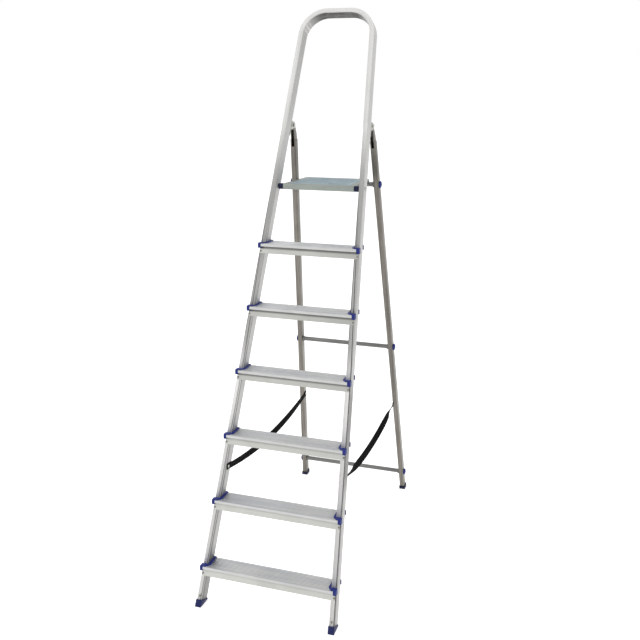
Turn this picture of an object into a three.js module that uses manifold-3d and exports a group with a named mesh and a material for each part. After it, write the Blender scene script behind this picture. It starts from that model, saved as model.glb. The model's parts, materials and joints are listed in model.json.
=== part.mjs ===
// Folding platform step ladder: one tapered hoop of oval tube carries six ribbed treads and the
// hinged platform, and two rear legs with three crossbars swing in behind it.
// Millimetres. X runs to the right, Y to the back and Z up; the floor is at zero height.
import * as THREE from 'three';
import { mergeVertices, toCreasedNormals } from 'three/addons/utils/BufferGeometryUtils.js';
import Module from 'manifold-3d';

const wasm = await Module();
wasm.setup();
const { Manifold, Mesh: SolidMesh } = wasm;

// ---- fits and fineness -------------------------------------------------------------------------
const touchGap = 0.3;          // between pieces that rest on one another
const runningGap = 0.8;        // beside pieces that turn past one another
const seated = 0.1;            // how far a rivet's head sinks into the plate it holds
const holePlay = 0.3;          // added to a fastener's radius to make its hole
const turningPlay = 0.15;      // added to a pin's radius to make a bore that turns on it
const weldDistance = 1e-4;
const creaseAngle = 0.6;
const pinFacets = 16;
const barFacets = 18;
const rivetFacets = 8;
const filletSteps = 2;
const bendSteps = 8;
const excess = 10;             // how far a cutter runs past what it cuts
const edgeRadius = 1;
const softRadius = 2;
const shankPast = 1;           // how far a rivet's shank shows inside the tube

// ---- front frame -------------------------------------------------------------------------------
const frontLean = 0.418;       // run to the back for each unit of height
const frontHalfWidth = 254.7;  // outer half width at the floor
const frontTaper = 0.0556;     // lost from each side for each unit of height
const stileWidth = 18;
const stileDepth = 47;
const stileWall = 1.8;
const stileCorner = 2;
const hoopTop = 2042;          // height of the rail's upper front edge
const hoopBendRadius = 93;     // at the middle of the tube
const grooveDepth = 1.8;
const grooveWidth = 8;
const grooveFromFront = 5;
const grooveBacking = 1.6;
const stileFloorGap = 6;

// ---- treads ------------------------------------------------------------------------------------
const treadCount = 6;
const firstTreadTop = 139;
const treadSpacing = 215;
const noseReach = 20;          // ahead of the stile's front face
const treadRear = 54;          // behind the stile's front face
const noseHeight = 11;
const plateThickness = 2.8;
const noseWall = 2.6;
const apronDrop = 36;
const apronThickness = 2.4;
const rearLip = 14;
const webThickness = 2.2;
const webAt = 24;
const smoothNose = 7;
const noseRadius = 1.6;
const ribPitch = 7.2;
const ribWidth = 4.2;
const ribHeight = 0.9;
const capWidth = 9.5;           // plastic between the tread and the stile's inner face
const capProud = 4;            // past the stile's outer face, at the nose
const capRearProud = 1.5;      // past it, behind the stile
const capLift = 2.2;
const capSlab = 3;
const capDrop = 17;
const capStripFront = 16.7;
const capRear = 55.5;
const capMiddleDrop = 12;
const capCorner = 3;
const rivetRadius = 2;
const rivetHeadRadius = 3.8;
const rivetHeadHeight = 1.9;
const rivetInset = 5.5;
const rivetDrop = 29;

// ---- front feet --------------------------------------------------------------------------------
const bootWall = 2;
const bootHeight = 25;         // at the front; the top is cut square to the tube
const bootRivetAbove = 11.5;
const bootTongueWidth = 8.5;   // the tongue inside the tube that the rivet holds
const bootTongueDepth = 9;
const bootTongueCorner = 2;
const bootTongueAbove = 7;     // past the rivet
const bootToe = 1;
const soleGroove = 1.6;

// ---- rear legs ---------------------------------------------------------------------------------
const rearLean = 0.2098;
const rearTaper = 0.0495;
const legWidth = 20;
const legDepth = 30;           // measured level
const legWall = 1.7;
const legCorner = 2.5;
const legFloorGap = 5;
const hingeZ = 1622;
const hingeBehind = 21.75;     // from the stile's rear face, square to it
const legBehindHinge = 7.9;    // level, from the axis to the leg's front face carried up
const notchDepth = 68;
const notchBelowHinge = 10;
const hoodBelowHinge = 62;
const hoodWidth = 14.3;
const hoodWall = 1.9;
const hoodRadius = 103;
const hoodCentreDrop = 78;     // below the hinge axis
const tubeIntoHood = 8;
const earRadius = 18.5;
const hingePinRadius = 4;
const hingeHeadRadius = 7.5;
const hingeHeadHeight = 2.6;
const rearBootHeight = 13;
const rearBootWall = 2.6;

// ---- hinge brackets ----------------------------------------------------------------------------
const bracketPlate = 2;
const bracketSidePlay = 1.1;   // between a cheek and the hood's side
const bracketAbove = 8;
const bracketBelow = 48;
const bracketNoseRadius = 12;
const bracketRivetUpper = 27;   // below the hinge axis, through the stile's rear face
const bracketRivetLower = 41;

// ---- crossbars ---------------------------------------------------------------------------------
const lowBarHeight = 89;
const middleBarHeight = 714;
const highBarDrop = 16.4;      // below the platform's top
const barRadius = 8.75;
const barWall = 1.5;
const collarRadius = 11.5;
const collarLength = 4;
const collarShoulder = 1;
const collarNeck = 3;
const barCapRadius = 13.5;
const barCapDome = 7.5;
const barCapRim = 2.5;
const barCapPlug = 10;

// ---- platform ----------------------------------------------------------------------------------
const platformTop = 1419;
const platformPivotDrop = 10;
const platformInset = 10.9;    // of its front edge behind the stiles' front faces
const platformOverhang = 26.6; // of its rear edge behind the upper crossbar's middle
const platformNarrowing = 10;  // from front to rear, at each side
const platformSidePlay = 4.75; // for the bolt's washer and the stile's slant
const platformSkirt = 20;
const skirtWall = 2;
const deckThickness = 3.2;
const deckCorner = 3;
const barClearance = 1.5;
const panelRecess = 1.6;
const panelInset = 17;
const panelThickness = 1.9;
const panelRibPitch = 9;
const panelRibWidth = 4;
const panelRibHeight = 0.8;
const bushWidth = 16;
const bushDepth = 20;
const pivotBoltRadius = 4;
const pivotHeadRadius = 7;
const pivotHeadHeight = 3.6;
const washerRadius = 9;
const washerThickness = 1.6;
const clipWidth = 26;
const clipFromSide = 45;       // the clip's middle from the platform's front corner, across
const clipRearWall = 9;
const clipFrontWall = 7;
const clipPlay = 0.6;
const clipFlare = 0.7;

// ---- straps ------------------------------------------------------------------------------------
const strapWidth = 22;
const strapThickness = 1.8;
const strapFrontZ = 452;
const strapRearZ = 438;
const strapFrontInset = 22;    // behind the stile's front face
const strapSag = 34;
const strapSteps = 14;
const strapBoltRadius = 2.5;
const strapHeadRadius = 6;
const strapHeadHeight = 2.4;
const strapEnd = 9;            // webbing past the bolt

// ---- colours -----------------------------------------------------------------------------------
const finishes = {
  polished: { color: '#d2d3d4', roughness: 0.28, metalness: 0.9 },
  tread: { color: '#c3c4c3', roughness: 0.42, metalness: 0.8 },
  dull: { color: '#9c988f', roughness: 0.45, metalness: 0.85 },
  deck: { color: '#aab6bb', roughness: 0.5, metalness: 0.6 },
  zinc: { color: '#b9bab2', roughness: 0.38, metalness: 0.9 },
  blue: { color: '#1f2f78', roughness: 0.5, metalness: 0.0 },
  navy: { color: '#151c33', roughness: 0.55, metalness: 0.0 },
  black: { color: '#141416', roughness: 0.7, metalness: 0.0 },
};

const sides = { left: -1, right: 1 };
const leanAngle = Math.atan(frontLean);
const alongStile = new THREE.Vector3(0, Math.sin(leanAngle), Math.cos(leanAngle));
const behindStile = new THREE.Vector3(0, Math.cos(leanAngle), -Math.sin(leanAngle));
const levelDepth = stileDepth / Math.cos(leanAngle);

const stileFront = (z) => frontLean * z;
const stileOuter = (z) => frontHalfWidth - frontTaper * z;
const stileInner = (z) => stileOuter(z) - stileWidth;
const planeTaper = frontTaper * Math.cos(leanAngle);
/** Half distance between the stiles' middles at any place on or behind their front faces. */
const stileMiddleAt = (place) => frontHalfWidth - stileWidth / 2 - planeTaper * place.dot(alongStile);
const bracketHalfWidth = hoodWidth / 2 + bracketSidePlay + bracketPlate;
const hingeY = (hingeBehind + stileDepth + hingeZ * Math.sin(leanAngle)) / Math.cos(leanAngle);
const rearFront = hingeY + legBehindHinge + rearLean * hingeZ;
const hingeMiddle = stileMiddleAt(new THREE.Vector3(0, hingeY, hingeZ));
const rearHalfWidth = hingeMiddle + legWidth / 2 + rearTaper * hingeZ;
const legFront = (z) => rearFront - rearLean * z;
const legOuter = (z) => rearHalfWidth - rearTaper * z;
const legMiddle = (z) => legFront(z) + legDepth / 2;
const treadTop = (level) => firstTreadTop + (level - 1) * treadSpacing;
const notchHigh = hingeZ - notchBelowHinge;
const notchLow = notchHigh - notchDepth;
const hoodFrom = hingeZ - hoodBelowHinge;
const hoodCentreZ = hingeZ - hoodCentreDrop;
const hoodCentreY = legFront(hoodCentreZ) + legDepth - hoodRadius / Math.cos(Math.atan(rearLean));
const barHeights = { low: lowBarHeight, middle: middleBarHeight, high: platformTop - highBarDrop };

// ---- solids ------------------------------------------------------------------------------------

/** Turns a closed three.js geometry into a solid, faces outward. */
function toSolid(geometry) {
  const bare = geometry.clone();
  bare.deleteAttribute('normal');
  bare.deleteAttribute('uv');
  const welded = mergeVertices(bare, weldDistance);
  const vertProperties = Float32Array.from(welded.attributes.position.array);
  const triVerts = Uint32Array.from(welded.index.array);
  const solid = new Manifold(new SolidMesh({ numProp: 3, vertProperties, triVerts }));
  if (solid.volume() >= 0) return solid;
  const turned = triVerts.slice().reverse();
  return new Manifold(new SolidMesh({ numProp: 3, vertProperties, triVerts: turned }));
}

/** Turns a solid back into a three.js geometry. */
function toGeometry(solid) {
  const body = solid.getMesh();
  const geometry = new THREE.BufferGeometry();
  geometry.setAttribute('position', new THREE.BufferAttribute(Float32Array.from(body.vertProperties), 3));
  geometry.setIndex(new THREE.BufferAttribute(Uint32Array.from(body.triVerts), 1));
  return toCreasedNormals(geometry, creaseAngle);
}

const joined = (first, ...rest) => rest.reduce((sum, next) => sum.add(next), first);
const without = (first, ...cutters) => cutters.reduce((left, cutter) => left.subtract(cutter), first);

/** Rounds the corners of a polygon; each corner is [x, y, radius]. */
function roundedOutline(corners) {
  const outline = [];
  corners.forEach(([x, y, radius = 0], index) => {
    if (radius === 0) {
      outline.push(new THREE.Vector2(x, y));
      return;
    }
    const here = new THREE.Vector2(x, y);
    const before = corners.at(index - 1);
    const after = corners[(index + 1) % corners.length];
    const back = new THREE.Vector2(before[0] - x, before[1] - y).normalize();
    const onward = new THREE.Vector2(after[0] - x, after[1] - y).normalize();
    const half = Math.acos(THREE.MathUtils.clamp(back.dot(onward), -1, 1)) / 2;
    const bisector = back.clone().add(onward).normalize();
    const centre = here.clone().addScaledVector(bisector, radius / Math.sin(half));
    const first = here.clone().addScaledVector(back, radius / Math.tan(half)).sub(centre);
    const last = here.clone().addScaledVector(onward, radius / Math.tan(half)).sub(centre);
    const start = Math.atan2(first.y, first.x);
    const sweep = Math.atan2(first.cross(last), first.dot(last));
    for (let step = 0; step <= filletSteps; step += 1) {
      const turn = start + (sweep * step) / filletSteps;
      outline.push(new THREE.Vector2(centre.x + radius * Math.cos(turn), centre.y + radius * Math.sin(turn)));
    }
  });
  return outline;
}

/** Corners of a rectangle given by its extents, all with one radius. */
function rectangle(lowX, highX, lowY, highY, radius = 0) {
  return roundedOutline([
    [lowX, lowY, radius], [highX, lowY, radius], [highX, highY, radius], [lowX, highY, radius],
  ]);
}

/** Points along a circular arc, both ends included. */
function arcPoints(centreX, centreY, radius, from, to, steps) {
  return Array.from({ length: steps + 1 }, (_, step) => {
    const turn = from + ((to - from) * step) / steps;
    return new THREE.Vector2(centreX + radius * Math.cos(turn), centreY + radius * Math.sin(turn));
  });
}

/** A shape with its outline counter-clockwise, which three.js then matches its holes to. */
function shapeOf(outline, holes = []) {
  const shape = new THREE.Shape(THREE.ShapeUtils.isClockWise(outline) ? outline.toReversed() : outline);
  holes.forEach((hole) => shape.holes.push(new THREE.Path(hole)));
  return shape;
}

/** Prism standing on a level outline (x, y). */
function upright(outline, lowZ, highZ) {
  const geometry = new THREE.ExtrudeGeometry(shapeOf(outline), { depth: highZ - lowZ, bevelEnabled: false });
  return geometry.translate(0, 0, lowZ);
}

/** Prism of a side profile (y, z), from one x to another. */
function acrossProfile(outline, lowX, highX, holes = []) {
  const settings = { depth: highX - lowX, bevelEnabled: false };
  const geometry = new THREE.ExtrudeGeometry(shapeOf(outline, holes), settings);
  const toX = new THREE.Matrix4().makeBasis(
    new THREE.Vector3(0, 1, 0), new THREE.Vector3(0, 0, 1), new THREE.Vector3(1, 0, 0),
  );
  return geometry.applyMatrix4(toX).translate(lowX, 0, 0);
}

/** Leans a geometry: x shifts inward with height on its side, y shifts with height. */
function leaned(geometry, side, taper, lean) {
  const shear = new THREE.Matrix4().set(1, 0, -side * taper, 0, 0, 1, lean, 0, 0, 0, 1, 0, 0, 0, 0, 1);
  return geometry.applyMatrix4(shear);
}

/** Slants a geometry inward the way the stile on its side runs, square to the hoop's plane. */
function withStile(geometry, side) {
  const { y, z } = alongStile;
  const inward = -side * planeTaper;
  const shear = new THREE.Matrix4().set(1, inward * y, inward * z, 0, 0, 1, 0, 0, 0, 0, 1, 0, 0, 0, 0, 1);
  return geometry.applyMatrix4(shear);
}

const box = (lowX, highX, lowY, highY, lowZ, highZ) =>
  toSolid(new THREE.BoxGeometry(highX - lowX, highY - lowY, highZ - lowZ)
    .translate((lowX + highX) / 2, (lowY + highY) / 2, (lowZ + highZ) / 2));

/** Turned piece: a profile of [radius, distance along the axis], set at a point along a direction. */
function turned(profile, place, direction, facets = pinFacets) {
  const points = profile.map(([radius, along]) => new THREE.Vector2(radius, along));
  const geometry = new THREE.LatheGeometry(points, facets);
  const facing = new THREE.Quaternion().setFromUnitVectors(new THREE.Vector3(0, 1, 0), direction);
  return toSolid(geometry.applyQuaternion(facing).translate(place.x, place.y, place.z));
}

/** Plain rod from a point along a direction. */
const rod = (place, direction, radius, from, to, facets = pinFacets) =>
  turned([[0, from], [radius, from], [radius, to], [0, to]], place, direction, facets);

/** Domed fastener: the head lies behind the point, the shank runs along the direction. */
function domed(place, direction, headRadius, headHeight, shankRadius, shankLength, facets = rivetFacets) {
  const flat = headRadius * 0.55;
  const shoulder = headRadius * 0.9;
  return turned([
    [0, -headHeight], [flat, -headHeight * 0.88], [shoulder, -headHeight * 0.45], [headRadius, 0],
    [shankRadius, 0], [shankRadius, shankLength], [0, shankLength],
  ], place, direction, facets);
}

// ---- front frame -------------------------------------------------------------------------------

/** A path given by stations, so that straights take one step and bends take many. */
class StationPath extends THREE.Curve {
  constructor(stations) {
    super();
    this.stations = stations;
  }

  station(u) {
    return this.stations[Math.round(u * (this.stations.length - 1))];
  }

  getPointAt(u, target = new THREE.Vector3()) {
    return target.copy(this.station(u).point);
  }

  getTangentAt(u, target = new THREE.Vector3()) {
    return target.copy(this.station(u).tangent);
  }
}

/** Stations of the hoop in its own plane: x across, z up the slope, y behind the front face. */
function hoopStations() {
  const rail = hoopTop / Math.cos(leanAngle) - stileWidth / 2;
  const sideAt = (up) => frontHalfWidth - stileWidth / 2 - planeTaper * up;
  const rise = new THREE.Vector2(planeTaper, 1).normalize();
  const bend = Math.PI / 2 - Math.atan(planeTaper);
  const run = hoopBendRadius * Math.tan(bend / 2);
  const bendStart = new THREE.Vector2(-sideAt(rail), rail).addScaledVector(rise, -run);
  const inward = new THREE.Vector2(rise.y, -rise.x);
  const centre = bendStart.clone().addScaledVector(inward, hoopBendRadius);
  const make = (x, up, tangentX, tangentUp) => ({
    point: new THREE.Vector3(x, stileDepth / 2, up),
    tangent: new THREE.Vector3(tangentX, 0, tangentUp).normalize(),
  });
  const left = [make(-sideAt(-stileDepth), -stileDepth, rise.x, rise.y)];
  for (let step = 0; step <= bendSteps; step += 1) {
    const turn = (bend * step) / bendSteps;
    const out = inward.clone().rotateAround(new THREE.Vector2(), -turn).multiplyScalar(-hoopBendRadius);
    const going = rise.clone().rotateAround(new THREE.Vector2(), -turn);
    left.push(make(centre.x + out.x, centre.y + out.y, going.x, going.y));
  }
  const right = left.toReversed().map(({ point, tangent }) => make(-point.x, point.z, tangent.x, -tangent.z));
  return [...left, ...right];
}

/** Places a geometry drawn in the hoop's own plane. */
const ontoSlope = (geometry) =>
  geometry.applyMatrix4(new THREE.Matrix4().makeBasis(new THREE.Vector3(1, 0, 0), behindStile, alongStile));

function hoopTube() {
  const halfDepth = stileDepth / 2;
  const halfWidth = stileWidth / 2;
  const section = shapeOf(
    rectangle(-halfDepth, halfDepth, -halfWidth, halfWidth, stileCorner),
    [rectangle(
      -halfDepth + stileWall, halfDepth - stileWall, -halfWidth + stileWall, halfWidth - stileWall,
      stileCorner - stileWall,
    )],
  );
  const stations = hoopStations();
  const settings = { steps: stations.length - 1, extrudePath: new StationPath(stations) };
  return toSolid(ontoSlope(new THREE.ExtrudeGeometry(section, settings)));
}

/** A strip running up the stile's slope between two distances from its outer face. */
function stileStrip(side, fromOuter, toOuter, near, far, low, high, radius = 0) {
  const lowX = side * (frontHalfWidth - fromOuter);
  const highX = side * (frontHalfWidth - toOuter);
  const outline = rectangle(Math.min(lowX, highX), Math.max(lowX, highX), near, far, radius);
  return toSolid(ontoSlope(leaned(upright(outline, low, high), side, planeTaper, 0)));
}

/** The room a stile takes, grown by a clearance, as a plain leaning block. */
function stileRoom(side, clearance, low, high) {
  const grown = clearance / Math.cos(leanAngle);
  const outer = side * (frontHalfWidth + clearance);
  const inner = side * (frontHalfWidth - stileWidth - clearance);
  const outline = rectangle(Math.min(outer, inner), Math.max(outer, inner), -grown, levelDepth + grown);
  return toSolid(withStile(leaned(upright(outline, low, high), side, 0, frontLean), side));
}

function withGrooves(hoop) {
  const low = bootHeight / Math.cos(leanAngle) + touchGap;
  const high = (platformTop + platformSkirt) / Math.cos(leanAngle);
  const near = grooveFromFront;
  const far = near + grooveWidth;
  const spare = grooveBacking;
  let result = hoop;
  Object.values(sides).forEach((side) => {
    const backed = grooveDepth + grooveBacking;
    const margin = stileWall / 2;
    result = joined(
      result,
      stileStrip(side, margin, backed, near - spare, far + spare, low - spare, high + spare),
      stileStrip(side, stileWidth - margin, stileWidth - backed, near - spare, far + spare, low - spare,
        high + spare),
    );
    result = without(
      result,
      stileStrip(side, -excess, grooveDepth, near, far, low, high),
      stileStrip(side, stileWidth - grooveDepth, stileWidth + excess, near, far, low, high),
    );
  });
  return result;
}

/** Where an apron's rivet goes through the stile's front face. */
function treadRivetPlace(level, side) {
  const z = treadTop(level) - rivetDrop;
  return new THREE.Vector3(side * (stileOuter(z) - rivetInset), stileFront(z), z);
}

const levels = Array.from({ length: treadCount }, (_, index) => index + 1);
const everyRivet = levels.flatMap((level) => Object.values(sides).map((side) => treadRivetPlace(level, side)));
const footRivetPlace = (side) => {
  const z = bootHeight + bootRivetAbove;
  return new THREE.Vector3(side * (stileOuter(z) - stileWidth / 2), stileFront(z), z);
};

const platformPivotZ = platformTop - platformPivotDrop;
const platformPivotY = stileFront(platformPivotZ) + levelDepth / 2;
const platformPivotMiddle = stileMiddleAt(new THREE.Vector3(0, platformPivotY, platformPivotZ));
const platformFrontHalf = platformPivotMiddle - stileWidth / 2 - bushWidth - platformSidePlay;
const platformRearHalf = platformFrontHalf - platformNarrowing;
const platformFront = stileFront(platformTop) + platformInset;
const platformRear = legMiddle(platformTop - highBarDrop) + platformOverhang;
const bracketRivetPlaces = (side) => [bracketRivetUpper, bracketRivetLower].map((drop) => {
  const place = hingeFoot().addScaledVector(alongStile, -drop);
  return place.setX(side * stileMiddleAt(place));
});
const strapFrontPlace = (side) => {
  const place = new THREE.Vector3(0, stileFront(strapFrontZ) + strapFrontInset, strapFrontZ);
  return place.setX(side * (stileMiddleAt(place) - stileWidth / 2));
};
const platformPivotPlace = (side) => {
  const place = new THREE.Vector3(0, platformPivotY, platformPivotZ);
  return place.setX(side * (stileMiddleAt(place) + stileWidth / 2));
};
const strapRearPlace = (side) => new THREE.Vector3(
  side * (legOuter(strapRearZ) - legWidth), legMiddle(strapRearZ), strapRearZ,
);

/** The hinge axis dropped square onto the plane of the stiles' rear faces, at x = 0. */
function hingeFoot() {
  const axis = new THREE.Vector3(0, hingeY, hingeZ);
  return axis.addScaledVector(behindStile, stileDepth - axis.dot(behindStile));
}

function frontHoop() {
  const toRight = new THREE.Vector3(1, 0, 0);
  const floorCut = box(-frontHalfWidth * 2, frontHalfWidth * 2, -stileDepth * 3, stileDepth * 3,
    -stileDepth * 4, stileFloorGap);
  const faceHoles = [...everyRivet, ...Object.values(sides).map(footRivetPlace)].map((place) =>
    rod(place, behindStile, rivetRadius + holePlay, -excess, stileDepth / 3, rivetFacets));
  const sideHoles = Object.values(sides).flatMap((side) => {
    const pivot = platformPivotPlace(side);
    const strap = strapFrontPlace(side);
    const span = stileWidth * 2;
    return [
      rod(pivot, toRight, pivotBoltRadius + holePlay, -span, span),
      rod(strap, toRight.clone().multiplyScalar(side), strapBoltRadius + holePlay, -span, stileWidth / 2),
    ];
  });
  const rearHoles = Object.values(sides).flatMap(bracketRivetPlaces).map((place) =>
    rod(place, behindStile, rivetRadius + holePlay, -stileDepth / 3, excess, rivetFacets));
  return without(withGrooves(hoopTube()), floorCut, ...faceHoles, ...sideHoles, ...rearHoles);
}

// ---- treads ------------------------------------------------------------------------------------

/** Distance behind the stile's front face of the apron's back, at a depth below the tread's top. */
const apronBack = (v) => frontLean * v - touchGap / Math.cos(leanAngle);
const apronFront = (v) => apronBack(v) - apronThickness;

function treadRibs() {
  const ribs = [];
  for (let start = smoothNose - noseReach; start + ribPitch < treadRear; start += ribPitch) {
    ribs.push([start, -ribHeight], [start, 0], [start + ribWidth, 0], [start + ribWidth, -ribHeight]);
  }
  return ribs;
}

function treadOutline() {
  const under = -plateThickness;
  return roundedOutline([
    [-noseReach, -noseHeight, noseRadius], [-noseReach, -ribHeight / 2, noseRadius],
    [edgeRadius - noseReach + smoothNose / 2, 0], [smoothNose - noseReach - ribHeight, -ribHeight],
    ...treadRibs(),
    [treadRear, -ribHeight], [treadRear, -rearLip], [treadRear - webThickness, -rearLip],
    [treadRear - webThickness, under], [webAt + webThickness, under], [webAt + webThickness, -rearLip],
    [webAt, -rearLip], [webAt, under],
    [apronBack(under), under], [apronBack(-apronDrop), -apronDrop], [apronFront(-apronDrop), -apronDrop],
    [apronFront(-noseHeight), -noseHeight],
  ]);
}

function noseChamber() {
  const low = -noseHeight + apronThickness;
  const high = -plateThickness;
  const front = noseWall - noseReach;
  return [[front, low], [front, high], [apronFront(high), high], [apronFront(low), low]]
    .map(([u, v]) => new THREE.Vector2(u, v));
}

/** What the plastic end takes out of the tread: everything but the nose wall and the apron. */
function treadEndCut() {
  const floor = -capSlab - touchGap;
  const behindApron = edgeRadius;
  return [
    [-capStripFront - touchGap, floor], [-capStripFront - touchGap, excess], [capRear, excess],
    [capRear, -rearLip - excess / 2], [apronBack(-rearLip - excess / 2) + behindApron, -rearLip - excess / 2],
    [apronBack(floor) + behindApron, floor],
  ].map(([u, v]) => new THREE.Vector2(u, v));
}

function tread(level) {
  const top = treadTop(level);
  const half = stileOuter(top) - runningGap;
  const capFrom = stileInner(top) - capWidth - touchGap;
  const body = toSolid(acrossProfile(treadOutline(), -half, half, [noseChamber()]));
  const cuts = Object.values(sides).map((side) => {
    const near = side * capFrom;
    const far = side * (half + excess);
    return toSolid(acrossProfile(treadEndCut(), Math.min(near, far), Math.max(near, far)));
  });
  const placed = without(body, ...cuts).translate([0, stileFront(top), top]);
  return joined(placed, ...Object.values(sides).map((side) => treadRivet(level, side)));
}

/** Rivet set in the apron: a domed head in front, its shank through the stile's front wall. */
function treadRivet(level, side) {
  const seat = apronThickness + touchGap - seated;
  const place = treadRivetPlace(level, side).addScaledVector(behindStile, -seat);
  return domed(place, behindStile, rivetHeadRadius, rivetHeadHeight, rivetRadius, seat + stileWall + shankPast);
}

/** Plastic tread end: a flat S round the stile with a drop over the nose and a rear stop. */
function treadCap(level, side) {
  const top = treadTop(level);
  const outer = stileOuter(top);
  const inner = stileInner(top);
  const near = inner - capWidth;
  const far = outer + capProud;
  const farBehind = outer + capRearProud;
  const bay = levelDepth + touchGap;
  const slab = toSolid(upright(roundedOutline([
    [near, -capStripFront, edgeRadius], [far, -capStripFront, capCorner], [far, 0, edgeRadius], [inner, 0],
    [inner, bay], [farBehind, bay, edgeRadius], [farBehind, capRear, capCorner],
    [near, capRear, capCorner],
  ]), -capSlab, capLift));
  const drop = toSolid(acrossProfile(roundedOutline([
    [-noseReach + touchGap, -capDrop, capCorner], [0, -capDrop, edgeRadius], [0, capLift, edgeRadius],
    [-noseReach + touchGap, capLift, capCorner],
  ]), outer - runningGap + touchGap, far));
  const middle = box(near, inner, touchGap, bay, -capMiddleDrop, 0);
  const stop = toSolid(upright(roundedOutline([
    [near, bay, edgeRadius], [farBehind, bay, edgeRadius], [farBehind, capRear, capCorner],
    [near, capRear, edgeRadius],
  ]), -rearLip, 0));
  const whole = joined(slab, drop, middle, stop);
  const mirrored = side > 0 ? whole : whole.mirror([1, 0, 0]);
  const room = stileRoom(side, touchGap, top - capDrop * 2, top + capDrop);
  return without(mirrored.translate([0, stileFront(top), top]), room);
}

// ---- feet --------------------------------------------------------------------------------------

/** Side profile of a foot boot: level sole, walls that follow the leaning tube, top square to it. */
function bootOutline(lean, depth, wall, height, toe) {
  const rearHeight = height - (lean * (depth + wall * 2)) / (1 + lean * lean);
  return roundedOutline([
    [-wall - toe, 0, softRadius], [depth + wall, 0, softRadius],
    [depth + wall + lean * rearHeight, rearHeight, edgeRadius],
    [-wall + lean * height, height, edgeRadius], [-wall + (lean * height) / 3 - seated, height / 3],
  ]);
}

/** Tongue that rises from a front boot's sole inside the stile, close behind its front wall. */
function bootTongue(side) {
  const near = stileWall + touchGap;
  const margin = (stileWidth - bootTongueWidth) / 2;
  const tongue = stileStrip(side, margin, stileWidth - margin, near, near + bootTongueDepth, 0,
    (bootHeight + bootRivetAbove + bootTongueAbove) / Math.cos(leanAngle), bootTongueCorner);
  return without(tongue, box(-frontHalfWidth, frontHalfWidth, -stileDepth, stileDepth, -stileDepth,
    stileFloorGap / 2));
}

function soleGrooves(y, depth, halfSpan) {
  return [0.2, 0.5, 0.8].map((part) =>
    box(-halfSpan, halfSpan, y + depth * part - soleGroove, y + depth * part + soleGroove, -excess,
      soleGroove));
}

function frontBoot(side) {
  const centre = side * (frontHalfWidth - stileWidth / 2);
  const half = stileWidth / 2 + bootWall;
  const outline = bootOutline(frontLean, levelDepth, bootWall, bootHeight, bootToe);
  const block = withStile(acrossProfile(outline, centre - half, centre + half), side);
  const cavity = stileRoom(side, touchGap, stileFloorGap - touchGap, bootHeight * 2);
  const hole = rod(footRivetPlace(side), behindStile, rivetRadius + holePlay, -excess, stileDepth / 3,
    rivetFacets);
  const shell = without(toSolid(block), cavity, ...soleGrooves(0, levelDepth, frontHalfWidth * 2));
  return without(joined(shell, bootTongue(side)), hole);
}

function bootRivet(side) {
  const place = footRivetPlace(side).addScaledVector(behindStile, -touchGap);
  const shank = stileWall + touchGap * 2 + bootTongueDepth / 2;
  return domed(place, behindStile, rivetHeadRadius, rivetHeadHeight, rivetRadius, shank);
}

// ---- rear legs ---------------------------------------------------------------------------------

/** A leaning block in a rear leg's own section, from one height to another. */
function legBlock(side, inset, low, high, radius = 0) {
  const outer = side * (rearHalfWidth - inset);
  const inner = side * (rearHalfWidth - legWidth + inset);
  const outline = rectangle(Math.min(outer, inner), Math.max(outer, inner), rearFront + inset,
    rearFront + legDepth - inset, radius);
  return toSolid(leaned(upright(outline, low, high), side, rearTaper, -rearLean));
}

/** Angle between two sides of a triangle whose third side is known. */
const angleBetween = (one, other, third) => Math.acos((one ** 2 + other ** 2 - third ** 2) / (2 * one * other));

/** Side profile of the hinge hood, shrunk at the back and top by an inset. */
function hoodOutline(inset, openFront) {
  const rear = (z) => legFront(z) + legDepth - inset;
  const lean = Math.atan(rearLean);
  const radius = hoodRadius - inset;
  const rise = new THREE.Vector2(hingeY - hoodCentreY, hingeZ - hoodCentreZ);
  const reach = rise.length();
  const overEnd = rise.angle() + angleBetween(radius, reach, earRadius - inset);
  const earStart = rise.angle() + Math.PI - angleBetween(reach, earRadius, hoodRadius);
  const over = arcPoints(hoodCentreY, hoodCentreZ, radius, lean, overEnd, bendSteps);
  if (openFront) {
    const front = hingeY - earRadius * 2;
    return [
      new THREE.Vector2(front, hoodFrom - excess * 2),
      new THREE.Vector2(rear(hoodFrom - excess * 2), hoodFrom - excess * 2),
      ...over, new THREE.Vector2(front, over.at(-1).y),
    ];
  }
  const ear = arcPoints(hingeY, hingeZ, earRadius, earStart, Math.PI * 1.5, bendSteps);
  return [
    new THREE.Vector2(legFront(hoodFrom) + inset, hoodFrom), new THREE.Vector2(rear(hoodFrom), hoodFrom),
    ...over, ...ear, new THREE.Vector2(legFront(notchHigh), notchHigh - legWall),
  ];
}

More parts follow.
